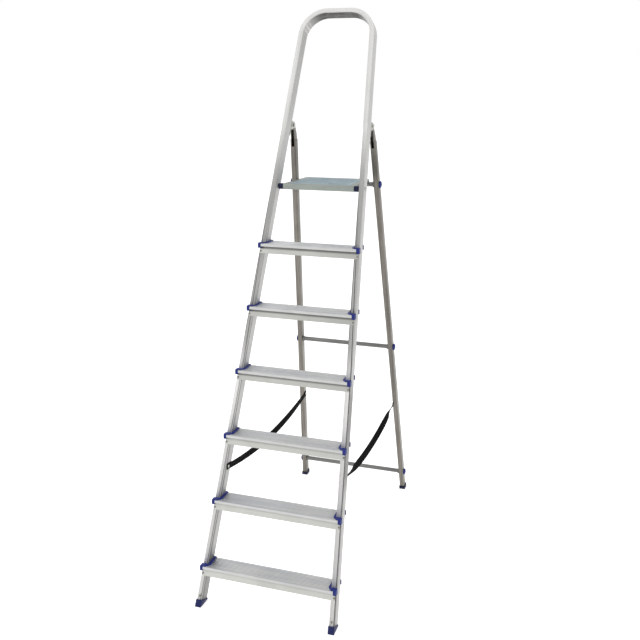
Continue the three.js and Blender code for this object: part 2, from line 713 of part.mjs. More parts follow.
function rearLeg(side) {
  const centre = side * (rearHalfWidth - legWidth / 2);
  const tubeTop = hoodFrom + tubeIntoHood;
  const lean = (geometry) => toSolid(leaned(geometry, side, rearTaper, 0));
  const hood = lean(acrossProfile(hoodOutline(0, false), centre - hoodWidth / 2, centre + hoodWidth / 2));
  const inside = hoodWidth / 2 - hoodWall;
  const hollow = lean(acrossProfile(hoodOutline(hoodWall, true), centre - inside, centre + inside));
  const tube = legBlock(side, 0, legFloorGap, tubeTop, legCorner);
  const bore = legBlock(side, legWall, 0, hoodFrom);
  const notchHalf = hoodWidth / 2 - hoodWall;
  const notch = toSolid(leaned(upright(rectangle(
    centre - notchHalf, centre + notchHalf, rearFront - excess, rearFront + legWall + edgeRadius,
  ), notchLow, notchHigh + excess), side, rearTaper, -rearLean));
  const clearOfStop = stileRoom(side, bracketPlate + touchGap * 2, hoodFrom, hingeZ + hoodRadius);
  const toRight = new THREE.Vector3(1, 0, 0);
  const axisAt = new THREE.Vector3(side * legOuter(hingeZ), hingeY, hingeZ);
  const pinHole = rod(axisAt, toRight, hingePinRadius + turningPlay, -legWidth * 2, legWidth * 2);
  const barHoles = Object.values(barHeights).map((z) => rod(
    new THREE.Vector3(side * legOuter(z), legMiddle(z), z), toRight, barRadius + holePlay,
    -legWidth * 2, legWidth * 2, barFacets,
  ));
  const strap = rod(strapRearPlace(side), toRight.clone().multiplyScalar(side),
    strapBoltRadius + holePlay, -legWidth, legWidth / 2);
  return without(joined(tube, hood), bore, hollow, notch, clearOfStop, pinHole, ...barHoles, strap);
}

function rearBoot(side) {
  const centre = side * (rearHalfWidth - legWidth / 2);
  const half = legWidth / 2 + rearBootWall;
  const outline = bootOutline(-rearLean, legDepth, rearBootWall, rearBootHeight, 0);
  const block = leaned(acrossProfile(outline, centre - half, centre + half), side, rearTaper, 0);
  const room = legBlock(side, -touchGap, legFloorGap - touchGap, rearBootHeight * 2);
  return without(toSolid(block.translate(0, rearFront, 0)), room,
    ...soleGrooves(rearFront, legDepth, rearHalfWidth * 2));
}

/** Tube from leg to leg, with a flared collar against each leg's inner side. */
function crossbar(z) {
  const end = legOuter(z) + runningGap / 2;
  const face = legOuter(z) - legWidth - runningGap;
  const bore = barRadius - barWall;
  const flare = face - collarLength;
  const profile = [
    [bore, -end], [barRadius, -end], [barRadius, -face], [collarRadius, -face],
    [collarRadius * 0.92, -flare - collarShoulder], [barRadius, -flare + collarNeck],
    [barRadius, flare - collarNeck],
    [collarRadius * 0.92, flare + collarShoulder], [collarRadius, face], [barRadius, face], [barRadius, end],
    [bore, end], [bore, -end],
  ];
  return turned(profile, new THREE.Vector3(0, legMiddle(z), z), new THREE.Vector3(1, 0, 0), barFacets);
}

/** Domed plastic cap plugged into a crossbar's end. */
function crossbarCap(z, side) {
  const face = legOuter(z) + runningGap + touchGap;
  const plug = barRadius - barWall - touchGap;
  const profile = [
    [0, -barCapPlug], [plug, -barCapPlug], [plug, 0], [barCapRadius, 0], [barCapRadius, barCapRim],
    [barCapRadius * 0.88, barCapDome * 0.62], [barCapRadius * 0.62, barCapDome * 0.88], [0, barCapDome],
  ];
  return turned(profile, new THREE.Vector3(side * face, legMiddle(z), z), new THREE.Vector3(side, 0, 0),
    barFacets);
}

// ---- hinge -------------------------------------------------------------------------------------

/** Bracket riveted to the back of the stile, whose two cheeks carry the hinge pin. */
function hingeBracket(side) {
  const foot = hingeFoot();
  const reach = new THREE.Vector3(0, hingeY, hingeZ).dot(behindStile) - stileDepth;
  const at = (behind, up) => {
    const place = foot.clone().addScaledVector(behindStile, behind).addScaledVector(alongStile, up);
    return new THREE.Vector2(place.y, place.z);
  };
  const web = bracketPlate + touchGap;
  const nose = Array.from({ length: bendSteps + 1 }, (_, step) => {
    const turn = -Math.PI / 2 + (Math.PI * step) / bendSteps;
    return at(reach + bracketNoseRadius * Math.cos(turn), bracketNoseRadius * Math.sin(turn));
  });
  const outline = [
    at(touchGap, -bracketBelow), at(web, -bracketBelow), at(web, -bracketNoseRadius * 2), ...nose,
    at(web, bracketAbove), at(touchGap, bracketAbove),
  ];
  const centre = side * (frontHalfWidth - stileWidth / 2);
  const half = bracketHalfWidth;
  const cheekInside = bracketHalfWidth - bracketPlate;
  const block = toSolid(withStile(acrossProfile(outline, centre - half, centre + half), side));
  const slotOutline = [at(web, -bracketBelow * 2), at(stileDepth * 2, -bracketBelow * 2),
    at(stileDepth * 2, bracketNoseRadius * 4), at(web, bracketNoseRadius * 4)];
  const slot = toSolid(withStile(
    acrossProfile(slotOutline, centre - cheekInside, centre + cheekInside), side));
  const room = stileRoom(side, touchGap, hingeZ - bracketBelow * 3, hingeZ + bracketNoseRadius * 4);
  const toRight = new THREE.Vector3(1, 0, 0);
  const axisAt = new THREE.Vector3(centre, hingeY, hingeZ);
  const pinHole = rod(axisAt, toRight, hingePinRadius + turningPlay, -frontHalfWidth, frontHalfWidth);
  const intoStile = behindStile.clone().negate();
  const rivets = bracketRivetPlaces(side).map((place) => domed(
    place.addScaledVector(behindStile, web - seated), intoStile, rivetHeadRadius, rivetHeadHeight,
    rivetRadius, web + stileWall + shankPast,
  ));
  return joined(without(block, slot, room, pinHole), ...rivets);
}

/** Fastener along X with a head at each end, its heads' undersides at a half span from the place. */
function throughFastener(place, half, headRadius, headHeight, shankRadius, facets) {
  const flat = headRadius * 0.6;
  return turned([
    [0, -half - headHeight], [flat, -half - headHeight], [headRadius, -half - headHeight / 3],
    [headRadius, -half], [shankRadius, -half], [shankRadius, half], [headRadius, half],
    [headRadius, half + headHeight / 3], [flat, half + headHeight], [0, half + headHeight],
  ], place, new THREE.Vector3(1, 0, 0), facets);
}

function hingePin(side) {
  const place = new THREE.Vector3(0, hingeY, hingeZ);
  place.setX(side * stileMiddleAt(place));
  const half = bracketHalfWidth + touchGap * 3;
  return throughFastener(place, half, hingeHeadRadius, hingeHeadHeight, hingePinRadius, pinFacets);
}

// ---- platform ----------------------------------------------------------------------------------

const barHighY = legMiddle(barHeights.high);
const barHighZ = barHeights.high;
const clipFrontGap = barRadius + clipPlay;

/** Level outline of the platform, inset from its edges. */
function platformPlan(inset, radius = 0) {
  const slope = (platformFrontHalf - platformRearHalf) / (platformRear - platformFront);
  const front = platformFrontHalf - inset - slope * inset;
  const rear = platformRearHalf - inset + slope * inset;
  return roundedOutline([
    [-front, platformFront + inset, radius], [front, platformFront + inset, radius],
    [rear, platformRear - inset, radius], [-rear, platformRear - inset, radius],
  ]);
}

function platformDeck() {
  const low = platformTop - platformSkirt;
  const under = platformTop - deckThickness;
  const wide = platformFrontHalf * 2;
  const block = toSolid(upright(platformPlan(0, deckCorner), low, platformTop));
  const inside = toSolid(upright(platformPlan(skirtWall), low - excess, under));
  const barRoom = box(-wide, wide, barHighY - barRadius - excess * 2, platformRear - skirtWall, low - excess,
    barHighZ + barRadius + barClearance);
  const rearTrim = box(-wide, wide, platformRear - skirtWall * 2, platformRear + excess, low - excess,
    low + platformSkirt * 0.4);
  const recess = toSolid(upright(platformPlan(panelInset, softRadius), platformTop - panelRecess, platformTop + excess));
  const pivot = new THREE.Vector3(0, platformPivotY, platformPivotZ);
  const hole = rod(pivot, new THREE.Vector3(1, 0, 0), pivotBoltRadius + turningPlay, -wide, wide);
  return without(block, inside, barRoom, rearTrim, recess, hole);
}

/** Ribbed sheet lying in the deck's recess. */
function platformPanel() {
  const bottom = platformTop - panelRecess + touchGap;
  const sheet = toSolid(upright(platformPlan(panelInset + touchGap * 2, softRadius), bottom, bottom + panelThickness));
  const ribs = [];
  const first = platformFront + panelInset + panelRibPitch;
  const last = platformRear - panelInset - panelRibPitch;
  const halfRib = platformRearHalf - panelInset - panelRibPitch;
  const ribTop = bottom + panelThickness + panelRibHeight;
  for (let y = first; y < last; y += panelRibPitch) {
    ribs.push(box(-halfRib, halfRib, y, y + panelRibWidth, bottom + panelThickness / 2, ribTop));
  }
  return joined(sheet, ...ribs);
}

/** Plastic block between the platform's skirt and the stile, bored for the pivot bolt. */
function platformBush(side) {
  const near = platformFrontHalf + touchGap;
  const far = near + bushWidth;
  const profile = rectangle(platformPivotY - bushDepth / 2, platformPivotY + bushDepth / 2,
    platformTop - platformSkirt, platformTop, capCorner);
  const block = toSolid(acrossProfile(profile, side > 0 ? near : -far, side > 0 ? far : -near));
  const axis = new THREE.Vector3(0, platformPivotY, platformPivotZ);
  return without(block, rod(axis, new THREE.Vector3(1, 0, 0), pivotBoltRadius + turningPlay,
    -frontHalfWidth, frontHalfWidth));
}

/** Bolt from outside the stile, through it and the bush, into the platform's skirt. */
function platformBolt(side) {
  const place = platformPivotPlace(side);
  const outer = Math.abs(place.x) + frontTaper * pivotHeadRadius + touchGap;
  place.setX(side * outer);
  return domed(place, new THREE.Vector3(-side, 0, 0), pivotHeadRadius, pivotHeadHeight, pivotBoltRadius,
    outer - platformFrontHalf + skirtWall + pivotHeadHeight, pinFacets);
}

function platformWasher(side) {
  const bore = pivotBoltRadius + holePlay;
  const inner = platformFrontHalf + bushWidth + touchGap * 2;
  const place = new THREE.Vector3(side * inner, platformPivotY, platformPivotZ);
  return turned([
    [bore, 0], [washerRadius, 0], [washerRadius, washerThickness], [bore, washerThickness], [bore, 0],
  ], place, new THREE.Vector3(side, 0, 0));
}

/** Hook under the deck that drops over the upper crossbar and stops the legs spreading. */
function platformClip(side) {
  const top = platformTop - deckThickness - touchGap;
  const front = barHighY - clipFrontGap - clipFrontWall;
  const rear = barHighY + clipFrontGap + clipRearWall;
  const low = barHighZ - barRadius + edgeRadius;
  const lip = barHighZ + barRadius * 0.5;
  const outline = roundedOutline([
    [rear, low, softRadius], [rear, top, edgeRadius], [front, top, edgeRadius], [front, lip + softRadius],
    [barHighY - clipFrontGap, lip],
  ]);
  const saddle = arcPoints(barHighY, barHighZ, clipFrontGap, Math.PI - Math.asin(lip - barHighZ > 0
    ? (lip - barHighZ) / clipFrontGap : 0), 0, bendSteps);
  const foot = new THREE.Vector2(barHighY + clipFrontGap + clipFlare, low);
  const centre = side * (platformFrontHalf - clipFromSide);
  return toSolid(acrossProfile([...outline, ...saddle, foot], centre - clipWidth / 2, centre + clipWidth / 2));
}

// ---- straps ------------------------------------------------------------------------------------

/** Flat webbing that hangs slack from the stile's inner side to the rear leg's. */
function strap(side) {
  const start = strapFrontPlace(side);
  const finish = strapRearPlace(side);
  const lowY = start.y - strapEnd;
  const highY = finish.y + strapEnd;
  const line = (y) => THREE.MathUtils.mapLinear(y, start.y, finish.y, start.z, finish.z);
  const along = (y) => THREE.MathUtils.clamp((y - start.y) / (finish.y - start.y), 0, 1);
  const middle = (y) => line(y) - strapSag * 4 * along(y) * (1 - along(y));
  const stations = Array.from({ length: strapSteps + 1 }, (_, step) => lowY + ((highY - lowY) * step) / strapSteps);
  const edge = (offset) => stations.map((y) => new THREE.Vector2(y, middle(y) + offset));
  const outline = [...edge(-strapWidth / 2), ...edge(strapWidth / 2).toReversed()];
  const offset = runningGap + strapThickness / 2;
  const webbing = acrossProfile(outline, -strapThickness / 2, strapThickness / 2);
  const slope = (finish.x - start.x) / (finish.y - start.y);
  const skew = new THREE.Matrix4().set(1, slope, 0, start.x - side * offset - slope * start.y,
    0, 1, 0, 0, 0, 0, 1, 0, 0, 0, 0, 1);
  const toRight = new THREE.Vector3(1, 0, 0);
  const holes = [start, finish].map((place) =>
    rod(place, toRight, strapBoltRadius + holePlay, -strapWidth, strapWidth, rivetFacets));
  return without(toSolid(webbing.applyMatrix4(skew)), ...holes);
}

/** Bolt through one end of a strap into the tube behind it. */
function strapBolt(place, side) {
  const lift = runningGap + strapThickness + touchGap * 2;
  place.x -= side * lift;
  return domed(place, new THREE.Vector3(side, 0, 0), strapHeadRadius, strapHeadHeight, strapBoltRadius,
    lift + stileWall + softRadius);
}

// ---- assembly ----------------------------------------------------------------------------------

function assemble() {
  const pieces = [['front_hoop', frontHoop(), 'polished']];
  levels.forEach((level) => pieces.push([`tread_${level}`, tread(level), 'tread']));
  Object.entries(sides).forEach(([name, side]) => {
    levels.forEach((level) => pieces.push([`tread_cap_${level}_${name}`, treadCap(level, side), 'blue']));
    pieces.push(
      [`front_boot_${name}`, frontBoot(side), 'blue'],
      [`hinge_bracket_${name}`, hingeBracket(side), 'zinc'],
      [`hinge_pin_${name}`, hingePin(side), 'zinc'],
      [`rear_leg_${name}`, rearLeg(side), 'dull'],
      [`rear_boot_${name}`, rearBoot(side), 'navy'],
      [`platform_bush_${name}`, platformBush(side), 'navy'],
      [`platform_bolt_${name}`, platformBolt(side), 'zinc'],
      [`platform_washer_${name}`, platformWasher(side), 'black'],
      [`platform_clip_${name}`, platformClip(side), 'navy'],
      [`strap_${name}`, strap(side), 'black'],
      [`strap_bolt_front_${name}`, strapBolt(strapFrontPlace(side), side), 'zinc'],
      [`strap_bolt_rear_${name}`, strapBolt(strapRearPlace(side), side), 'zinc'],
      [`boot_rivet_${name}`, bootRivet(side), 'zinc'],
    );
    Object.entries(barHeights).forEach(([bar, z]) =>
      pieces.push([`crossbar_cap_${bar}_${name}`, crossbarCap(z, side), 'blue']));
  });
  Object.entries(barHeights).forEach(([bar, z]) => pieces.push([`crossbar_${bar}`, crossbar(z), 'dull']));
  pieces.push(
    ['platform_deck', platformDeck(), 'tread'],
    ['platform_panel', platformPanel(), 'deck'],
  );
  return pieces;
}

/** Builds the group with its footprint centred on the origin. */
function ladder() {
  const group = new THREE.Group();
  group.name = 'platform_step_ladder';
  assemble().forEach(([name, solid, finish]) => {
    const piece = new THREE.Mesh(toGeometry(solid), new THREE.MeshStandardMaterial(finishes[finish]));
    piece.name = name;
    group.add(piece);
  });
  const extent = new THREE.Box3().setFromObject(group);
  const middle = extent.getCenter(new THREE.Vector3());
  group.children.forEach((piece) => piece.geometry.translate(-middle.x, -middle.y, -extent.min.z));
  return group;
}

const group = ladder();
export default group;
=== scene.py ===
"""Dresses the folding platform step ladder in its finishes and stands it in a plain studio."""

import json
import logging
import math
from contextlib import contextmanager
from dataclasses import dataclass, field
from enum import Enum
from typing import Callable, Iterator, Sequence

import bmesh
import bpy
from mathutils import Matrix, Vector


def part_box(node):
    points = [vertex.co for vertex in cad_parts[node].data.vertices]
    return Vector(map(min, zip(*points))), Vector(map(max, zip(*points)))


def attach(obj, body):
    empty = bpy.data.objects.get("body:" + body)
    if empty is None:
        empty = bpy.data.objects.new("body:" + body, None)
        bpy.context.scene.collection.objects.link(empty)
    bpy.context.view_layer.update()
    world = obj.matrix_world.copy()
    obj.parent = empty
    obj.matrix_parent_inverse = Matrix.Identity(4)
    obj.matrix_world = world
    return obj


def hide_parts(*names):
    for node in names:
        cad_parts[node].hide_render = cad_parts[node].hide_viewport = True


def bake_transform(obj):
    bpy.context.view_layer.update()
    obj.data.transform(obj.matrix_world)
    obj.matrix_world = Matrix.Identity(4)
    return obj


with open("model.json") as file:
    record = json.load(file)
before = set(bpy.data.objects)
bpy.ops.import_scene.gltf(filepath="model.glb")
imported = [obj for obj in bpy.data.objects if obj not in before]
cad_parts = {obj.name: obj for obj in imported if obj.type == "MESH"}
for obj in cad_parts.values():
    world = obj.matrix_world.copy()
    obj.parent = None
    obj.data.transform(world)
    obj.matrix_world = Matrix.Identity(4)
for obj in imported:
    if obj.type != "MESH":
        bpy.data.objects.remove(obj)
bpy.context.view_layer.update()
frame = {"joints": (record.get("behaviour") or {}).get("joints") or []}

logging.basicConfig(level=logging.INFO, format="%(message)s")
log = logging.getLogger("ladder")

MM = 0.001
ACROSS = Vector((1, 0, 0))
PIN_HOLE = 4.15 * MM
RIVET_RADIUS = 3.8 * MM
RIVET_HEIGHT = 1.9 * MM
Piece = bpy.types.Object
Socket = bpy.types.NodeSocket
Flat = list[tuple[float, float]]
Points = Sequence[tuple[float, float]]
Outline = Sequence[Vector]
Corner = tuple[float, float, float]
Zone = tuple[float, float, float]
FaceRule = Callable[[Vector, Vector], bool]


class Side(Enum):
    """The climber's left and right."""

    LEFT = -1
    RIGHT = 1

    @property
    def word(self) -> str:
        """The name that pieces on this side carry."""
        return self.name.lower()


class Body(Enum):
    """The three bodies that the joints move."""

    FRONT = "front_frame"
    REAR = "rear_frame"
    PLATFORM = "platform"


# ---- how the ladder stands ----------------------------------------------------------------------


@dataclass(frozen=True)
class Stance:
    """Slopes, widths and the hinge line that every sub-assembly takes its place from, in metres."""

    front_lean: float = 0.418
    front_taper: float = 0.0556
    front_half_width: float = 254.7 * MM
    stile_width: float = 18 * MM
    stile_depth: float = 47 * MM
    rear_lean: float = 0.2098
    rear_taper: float = 0.0495
    leg_width: float = 20 * MM
    leg_depth: float = 30 * MM
    hinge_behind: float = 21.75 * MM
    leg_behind_hinge: float = 7.9 * MM

    @property
    def hinge(self) -> Vector:
        """A point on the axis that the rear legs fold about."""
        return Vector(frame["joints"][0]["pos_m"])

    @property
    def pivot(self) -> Vector:
        """A point on the platform's own axis."""
        return Vector(frame["joints"][1]["pos_m"])

    @property
    def angle(self) -> float:
        """How far the stiles lean back, in radians."""
        return math.atan(self.front_lean)

    @property
    def along(self) -> Vector:
        """Up the stiles' slope."""
        return Vector((0, math.sin(self.angle), math.cos(self.angle)))

    @property
    def behind(self) -> Vector:
        """Square to the stiles' front faces, to the back."""
        return Vector((0, math.cos(self.angle), -math.sin(self.angle)))

    @property
    def level_depth(self) -> float:
        """A stile's depth measured level."""
        return self.stile_depth / math.cos(self.angle)

    @property
    def plane_taper(self) -> float:
        """Taper of each stile for each unit up the slope."""
        return self.front_taper * math.cos(self.angle)

    @property
    def front_at_floor(self) -> float:
        """Y of the stiles' front faces at the floor."""
        back = (self.hinge_behind + self.stile_depth) / math.cos(self.angle)
        return self.hinge.y - back - self.front_lean * self.hinge.z

    @property
    def rear_half_width(self) -> float:
        """Outer half width of the rear legs at the floor."""
        return self.stile_middle(self.hinge) + self.leg_width / 2 + self.rear_taper * self.hinge.z

    def stile_front(self, z: float) -> float:
        """Y of the stiles' front faces at a height."""
        return self.front_at_floor + self.front_lean * z

    def stile_outer(self, z: float) -> float:
        """Outer half width of the stiles at a height."""
        return self.front_half_width - self.front_taper * z

    def stile_middle(self, place: Vector) -> float:
        """Half distance between the stiles' middles at any place on or behind their front faces."""
        up = (place - Vector((0, self.front_at_floor, 0))).dot(self.along)
        return self.front_half_width - self.stile_width / 2 - self.plane_taper * up

    def leg_front(self, z: float) -> float:
        """Y of the rear legs' front faces at a height."""
        return self.hinge.y + self.leg_behind_hinge + self.rear_lean * (self.hinge.z - z)

    def leg_middle(self, z: float) -> float:
        """Y of the rear legs' middles at a height."""
        return self.leg_front(z) + self.leg_depth / 2

    def leg_outer(self, z: float) -> float:
        """Outer half width of the rear legs at a height."""
        return self.rear_half_width - self.rear_taper * z

    def on_slope(self) -> Matrix:
        """Places a drawing made in the hoop's own plane: x across, y behind, z up the slope."""
        turn = Matrix((Vector((1, 0, 0)), self.behind, self.along)).transposed().to_4x4()
        return Matrix.Translation((0, self.front_at_floor, 0)) @ turn


STANCE = Stance()


def middle_of(node: str) -> tuple[float, float, float]:
    """The middle of a plain solid's box."""
    low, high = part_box(node)
    return tuple((a + b) / 2 for a, b in zip(low, high))


# ---- modelling steps ----------------------------------------------------------------------------


def clear_selection() -> None:
    """Leaves nothing selected and nothing active."""
    bpy.ops.object.select_all(action="DESELECT")
    bpy.context.view_layer.objects.active = None


def pick(piece: Piece) -> None:
    """Makes a piece the only one selected."""
    clear_selection()
    piece.select_set(True)
    bpy.context.view_layer.objects.active = piece


@contextmanager
def editing(piece: Piece) -> Iterator[None]:
    """Holds one piece in edit mode.

    Args:
        piece: The piece whose mesh is worked on.
    """
    pick(piece)
    bpy.ops.object.mode_set(mode="EDIT")
    try:
        yield
    finally:
        bpy.ops.object.mode_set(mode="OBJECT")


def faces_out() -> None:
    """Turns every face of the piece in edit mode outward."""
    bpy.ops.mesh.select_all(action="SELECT")
    bpy.ops.mesh.normals_make_consistent(inside=False)


def choose_faces(piece: Piece, rule: FaceRule) -> int:
    """Selects faces in edit mode by their middle and normal.

    Args:
        piece: The piece in edit mode.
        rule: Says whether a face with this middle and normal is wanted.

    Returns:
        How many faces are selected.
    """
    bpy.ops.mesh.select_mode(type="FACE")
    bpy.ops.mesh.select_all(action="DESELECT")
    mesh = bmesh.from_edit_mesh(piece.data)
    wanted = [f for f in mesh.faces if rule(f.calc_center_median(), f.normal)]
    for face in wanted:
        face.select_set(True)
    bmesh.update_edit_mesh(piece.data)
    return len(wanted)


def push(by: Vector | tuple[float, float, float]) -> None:
    """Extrudes what is selected along a vector."""
    bpy.ops.mesh.extrude_region_move(TRANSFORM_OT_translate={"value": tuple(by)})


def rounded(corners: Sequence[Corner], steps: int = 4) -> Flat:
    """Rounds the corners of a flat outline.

    Args:
        corners: Each corner as (x, y, radius).
        steps: Facets in each rounded corner.

    Returns:
        The outline's points in order.
    """
    points: Flat = []
    for index, (x, y, radius) in enumerate(corners):
        if radius == 0:
            points.append((x, y))
            continue
        here = Vector((x, y))
        before = (Vector(corners[index - 1][:2]) - here).normalized()
        after = (Vector(corners[(index + 1) % len(corners)][:2]) - here).normalized()
        half = before.angle(after) / 2
        centre = here + (before + after).normalized() * (radius / math.sin(half))
        first = here + before * (radius / math.tan(half)) - centre
        last = here + after * (radius / math.tan(half)) - centre
        sweep = math.atan2(first.x * last.y - first.y * last.x, first.dot(last))
        for step in range(steps + 1):
            turn = Matrix.Rotation(sweep * step / steps, 2)
            points.append(tuple(centre + turn @ first))
    return points


def arc(centre: tuple[float, float], radius: float, start: float, end: float, steps: int = 12) -> Flat:
    """Points along a circular arc, both ends included.

    Args:
        centre: The arc's middle.
        radius: Its radius.
        start: Angle of the first point, in radians.
        end: Angle of the last point, in radians.
        steps: Facets along the arc.

    Returns:
        The points in order.
    """
    turns = [start + (end - start) * step / steps for step in range(steps + 1)]
    return [(centre[0] + radius * math.cos(t), centre[1] + radius * math.sin(t)) for t in turns]


def box_of(low_x: float, low_y: float, high_x: float, high_y: float) -> Flat:
    """The four corners of a flat box."""
    return [(low_x, low_y), (high_x, low_y), (high_x, high_y), (low_x, high_y)]


def soft_box(corners: Points, radius: float, steps: int = 4) -> Flat:
    """Rounds every corner of a flat outline alike."""
    return rounded([(x, y, radius) for x, y in corners], steps)


def in_side_view(points: Points, x: float) -> list[Vector]:
    """Sets flat (y, z) points at one x."""
    return [Vector((x, y, z)) for y, z in points]


def in_plan(points: Points, z: float) -> list[Vector]:
    """Sets flat (x, y) points at one height."""
    return [Vector((x, y, z)) for x, y in points]


def traced(name: str, corners: Outline, fill: bool = True, closed: bool = True) -> Piece:
    """Draws an outline by extruding one corner to the next.

    Args:
        name: The new piece's name.
        corners: The outline's corners in order.
        fill: Whether a face closes it.
        closed: Whether its last corner joins its first.

    Returns:
        The new piece, in object mode.
    """
    clear_selection()
    bpy.ops.mesh.primitive_plane_add(size=MM)
    piece = bpy.context.active_object
    piece.name = piece.data.name = name
    with editing(piece):
        bpy.ops.mesh.select_mode(type="VERT")
        bpy.ops.mesh.select_all(action="SELECT")
        bpy.ops.mesh.merge(type="CENTER")
        bpy.ops.transform.translate(value=corners[0])
        for start, end in zip(corners, corners[1:]):
            push(end - start)
        if closed and fill:
            bpy.ops.mesh.select_all(action="SELECT")
            bpy.ops.mesh.edge_face_add()
        elif closed:
            mesh = bmesh.from_edit_mesh(piece.data)
            ends = [v for v in mesh.verts if len(v.link_edges) == 1]
            bpy.ops.mesh.select_all(action="DESELECT")
            for vertex in ends:
                vertex.select_set(True)
            bmesh.update_edit_mesh(piece.data)
            bpy.ops.mesh.edge_face_add()
    return piece


def prism(name: str, corners: Outline, by: Vector | tuple[float, float, float]) -> Piece:
    """Draws an outline and extrudes it into a closed block.

    Args:
        name: The new piece's name.
        corners: The outline's corners.
        by: How far and which way it is extruded.

    Returns:
        The block.
    """
    piece = traced(name, corners)
    with editing(piece):
        bpy.ops.mesh.select_all(action="SELECT")
        push(by)
        faces_out()
    return piece


def crosswise(name: str, view: Points, middle: float, half: float) -> Piece:
    """Makes a block from its side view, as far to either side of a middle."""
    return prism(name, in_side_view(view, middle - half), (2 * half, 0, 0))


def upright(name: str, plan: Points, low: float, height: float) -> Piece:
    """Makes a block from its plan, from a height upward."""
    return prism(name, in_plan(plan, low), (0, 0, height))


def turned(name: str, profile: Points, place: Vector, facing: Vector, steps: int = 32) -> Piece:
    """Turns a profile about an axis, as on a lathe.

    Args:
        name: The new piece's name.
        profile: Points as (radius, distance along the axis).
        place: The point that the distances start from.
        facing: The axis's direction.
        steps: Facets round the axis.

    Returns:
        The turned piece.
    """
    piece = traced(name, [Vector((r, 0, a)) for r, a in profile], fill=False, closed=False)
    with editing(piece):
        bpy.ops.mesh.select_all(action="SELECT")
        bpy.ops.mesh.spin(steps=steps, angle=math.tau, center=(0, 0, 0), axis=(0, 0, 1))
        bpy.ops.mesh.select_all(action="SELECT")
        bpy.ops.mesh.remove_doubles(threshold=MM / 100)
        faces_out()
    turn = facing.to_track_quat("Z", "Y").to_matrix().to_4x4()
    piece.data.transform(Matrix.Translation(place) @ turn)
    return piece


def crown(radius: float, rim: float, top: float, steps: int) -> Flat:
    """The profile of a dome from its rim up, without its very top."""
    turns = [math.pi / 2 * step / steps for step in range(steps)]
    return [(radius * math.cos(turn), rim + (top - rim) * math.sin(turn)) for turn in turns]


def drill(place: Vector, reach: float) -> Piece:
    """Makes the level rod that bores a pin's hole, as long either way as its reach."""
    profile = [(0, -reach), (PIN_HOLE, -reach), (PIN_HOLE, reach), (0, reach)]
    return turned("drill", profile, place, ACROSS)


def settle(piece: Piece, kind: str, name: str, **settings: object) -> None:
    """Adds a modifier with its settings and applies it.

    Args:
        piece: The piece that takes it.
        kind: Blender's name for the modifier type.
        name: What the modifier is called while it lasts.
        settings: The modifier's own values.
    """
    pick(piece)
    modifier = piece.modifiers.new(name, kind)
    for key, value in settings.items():
        setattr(modifier, key, value)
    bpy.ops.object.modifier_apply(modifier=modifier.name)


def cut_away(piece: Piece, *cutters: Piece) -> Piece:
    """Takes each cutter's shape out of a piece and throws the cutter away."""
    for cutter in cutters:
        settle(piece, "BOOLEAN", "cut", operation="DIFFERENCE", solver="EXACT", object=cutter)
        bpy.data.objects.remove(cutter)
    return piece


def welded(piece: Piece, *others: Piece) -> Piece:
    """Unites other blocks with a piece into one skin."""
    for other in others:
        settle(piece, "BOOLEAN", "weld", operation="UNION", solver="EXACT", object=other)
        bpy.data.objects.remove(other)
    return piece


def gathered(piece: Piece, *others: Piece) -> Piece:
    """Joins finished pieces into one object and keeps each one's material."""
    clear_selection()
    for other in (piece, *others):
        other.select_set(True)
    bpy.context.view_layer.objects.active = piece
    bpy.ops.object.join()
    return piece


def softened(piece: Piece, width: float, segments: int = 2, sharper_than: float = 33) -> Piece:
    """Rounds a piece's sharp edges and shades it smooth between them.

    Args:
        piece: The piece to finish.
        width: Width of the rounding.
        segments: Facets across it.
        sharper_than: Edges below this many degrees are left alone.

    Returns:
        The same piece.
    """
    with editing(piece):
        bpy.ops.mesh.select_all(action="SELECT")
        bpy.ops.mesh.remove_doubles(threshold=MM / 50)
        bpy.ops.mesh.dissolve_limited(angle_limit=math.radians(0.2))
        faces_out()
    settle(piece, "BEVEL", "edges", width=width, segments=segments, limit_method="ANGLE",
           angle_limit=math.radians(sharper_than), use_clamp_overlap=True, harden_normals=False)
    pick(piece)
    bpy.ops.object.shade_smooth_by_angle(angle=math.radians(38))
    return piece


def sheared(piece: Piece, by_y: float, by_z: float, level: float) -> Piece:
    """Slants a block sideways, by so much for each unit behind a level line and above the floor."""
    shear = Matrix.Identity(4)
    shear[0][1], shear[0][2] = by_y, by_z
    shear[0][3] = -shear[0][1] * level
    piece.data.transform(shear)
    return piece


def leaned_with_stile(piece: Piece, side: Side) -> Piece:
    """Slants a block inward the way the stile on its side runs."""
    inward = -side.value * STANCE.plane_taper
    return sheared(piece, inward * STANCE.along.y, inward * STANCE.along.z, STANCE.front_at_floor)


def leaned_with_leg(piece: Piece, side: Side) -> Piece:
    """Slants a block drawn at the floor's width inward, as the leg on its side does."""
    return sheared(piece, 0, -side.value * STANCE.rear_taper, 0)


def mirrored_to(piece: Piece, side: Side) -> Piece:
    """Mirrors a piece that is drawn on the right when its own side is the left."""
    if side is Side.LEFT:
        piece.data.transform(Matrix.Scale(-1, 4, (1, 0, 0)))
        with editing(piece):
            faces_out()
    return piece


# ---- shader building blocks ---------------------------------------------------------------------

Colour = tuple[float, float, float]


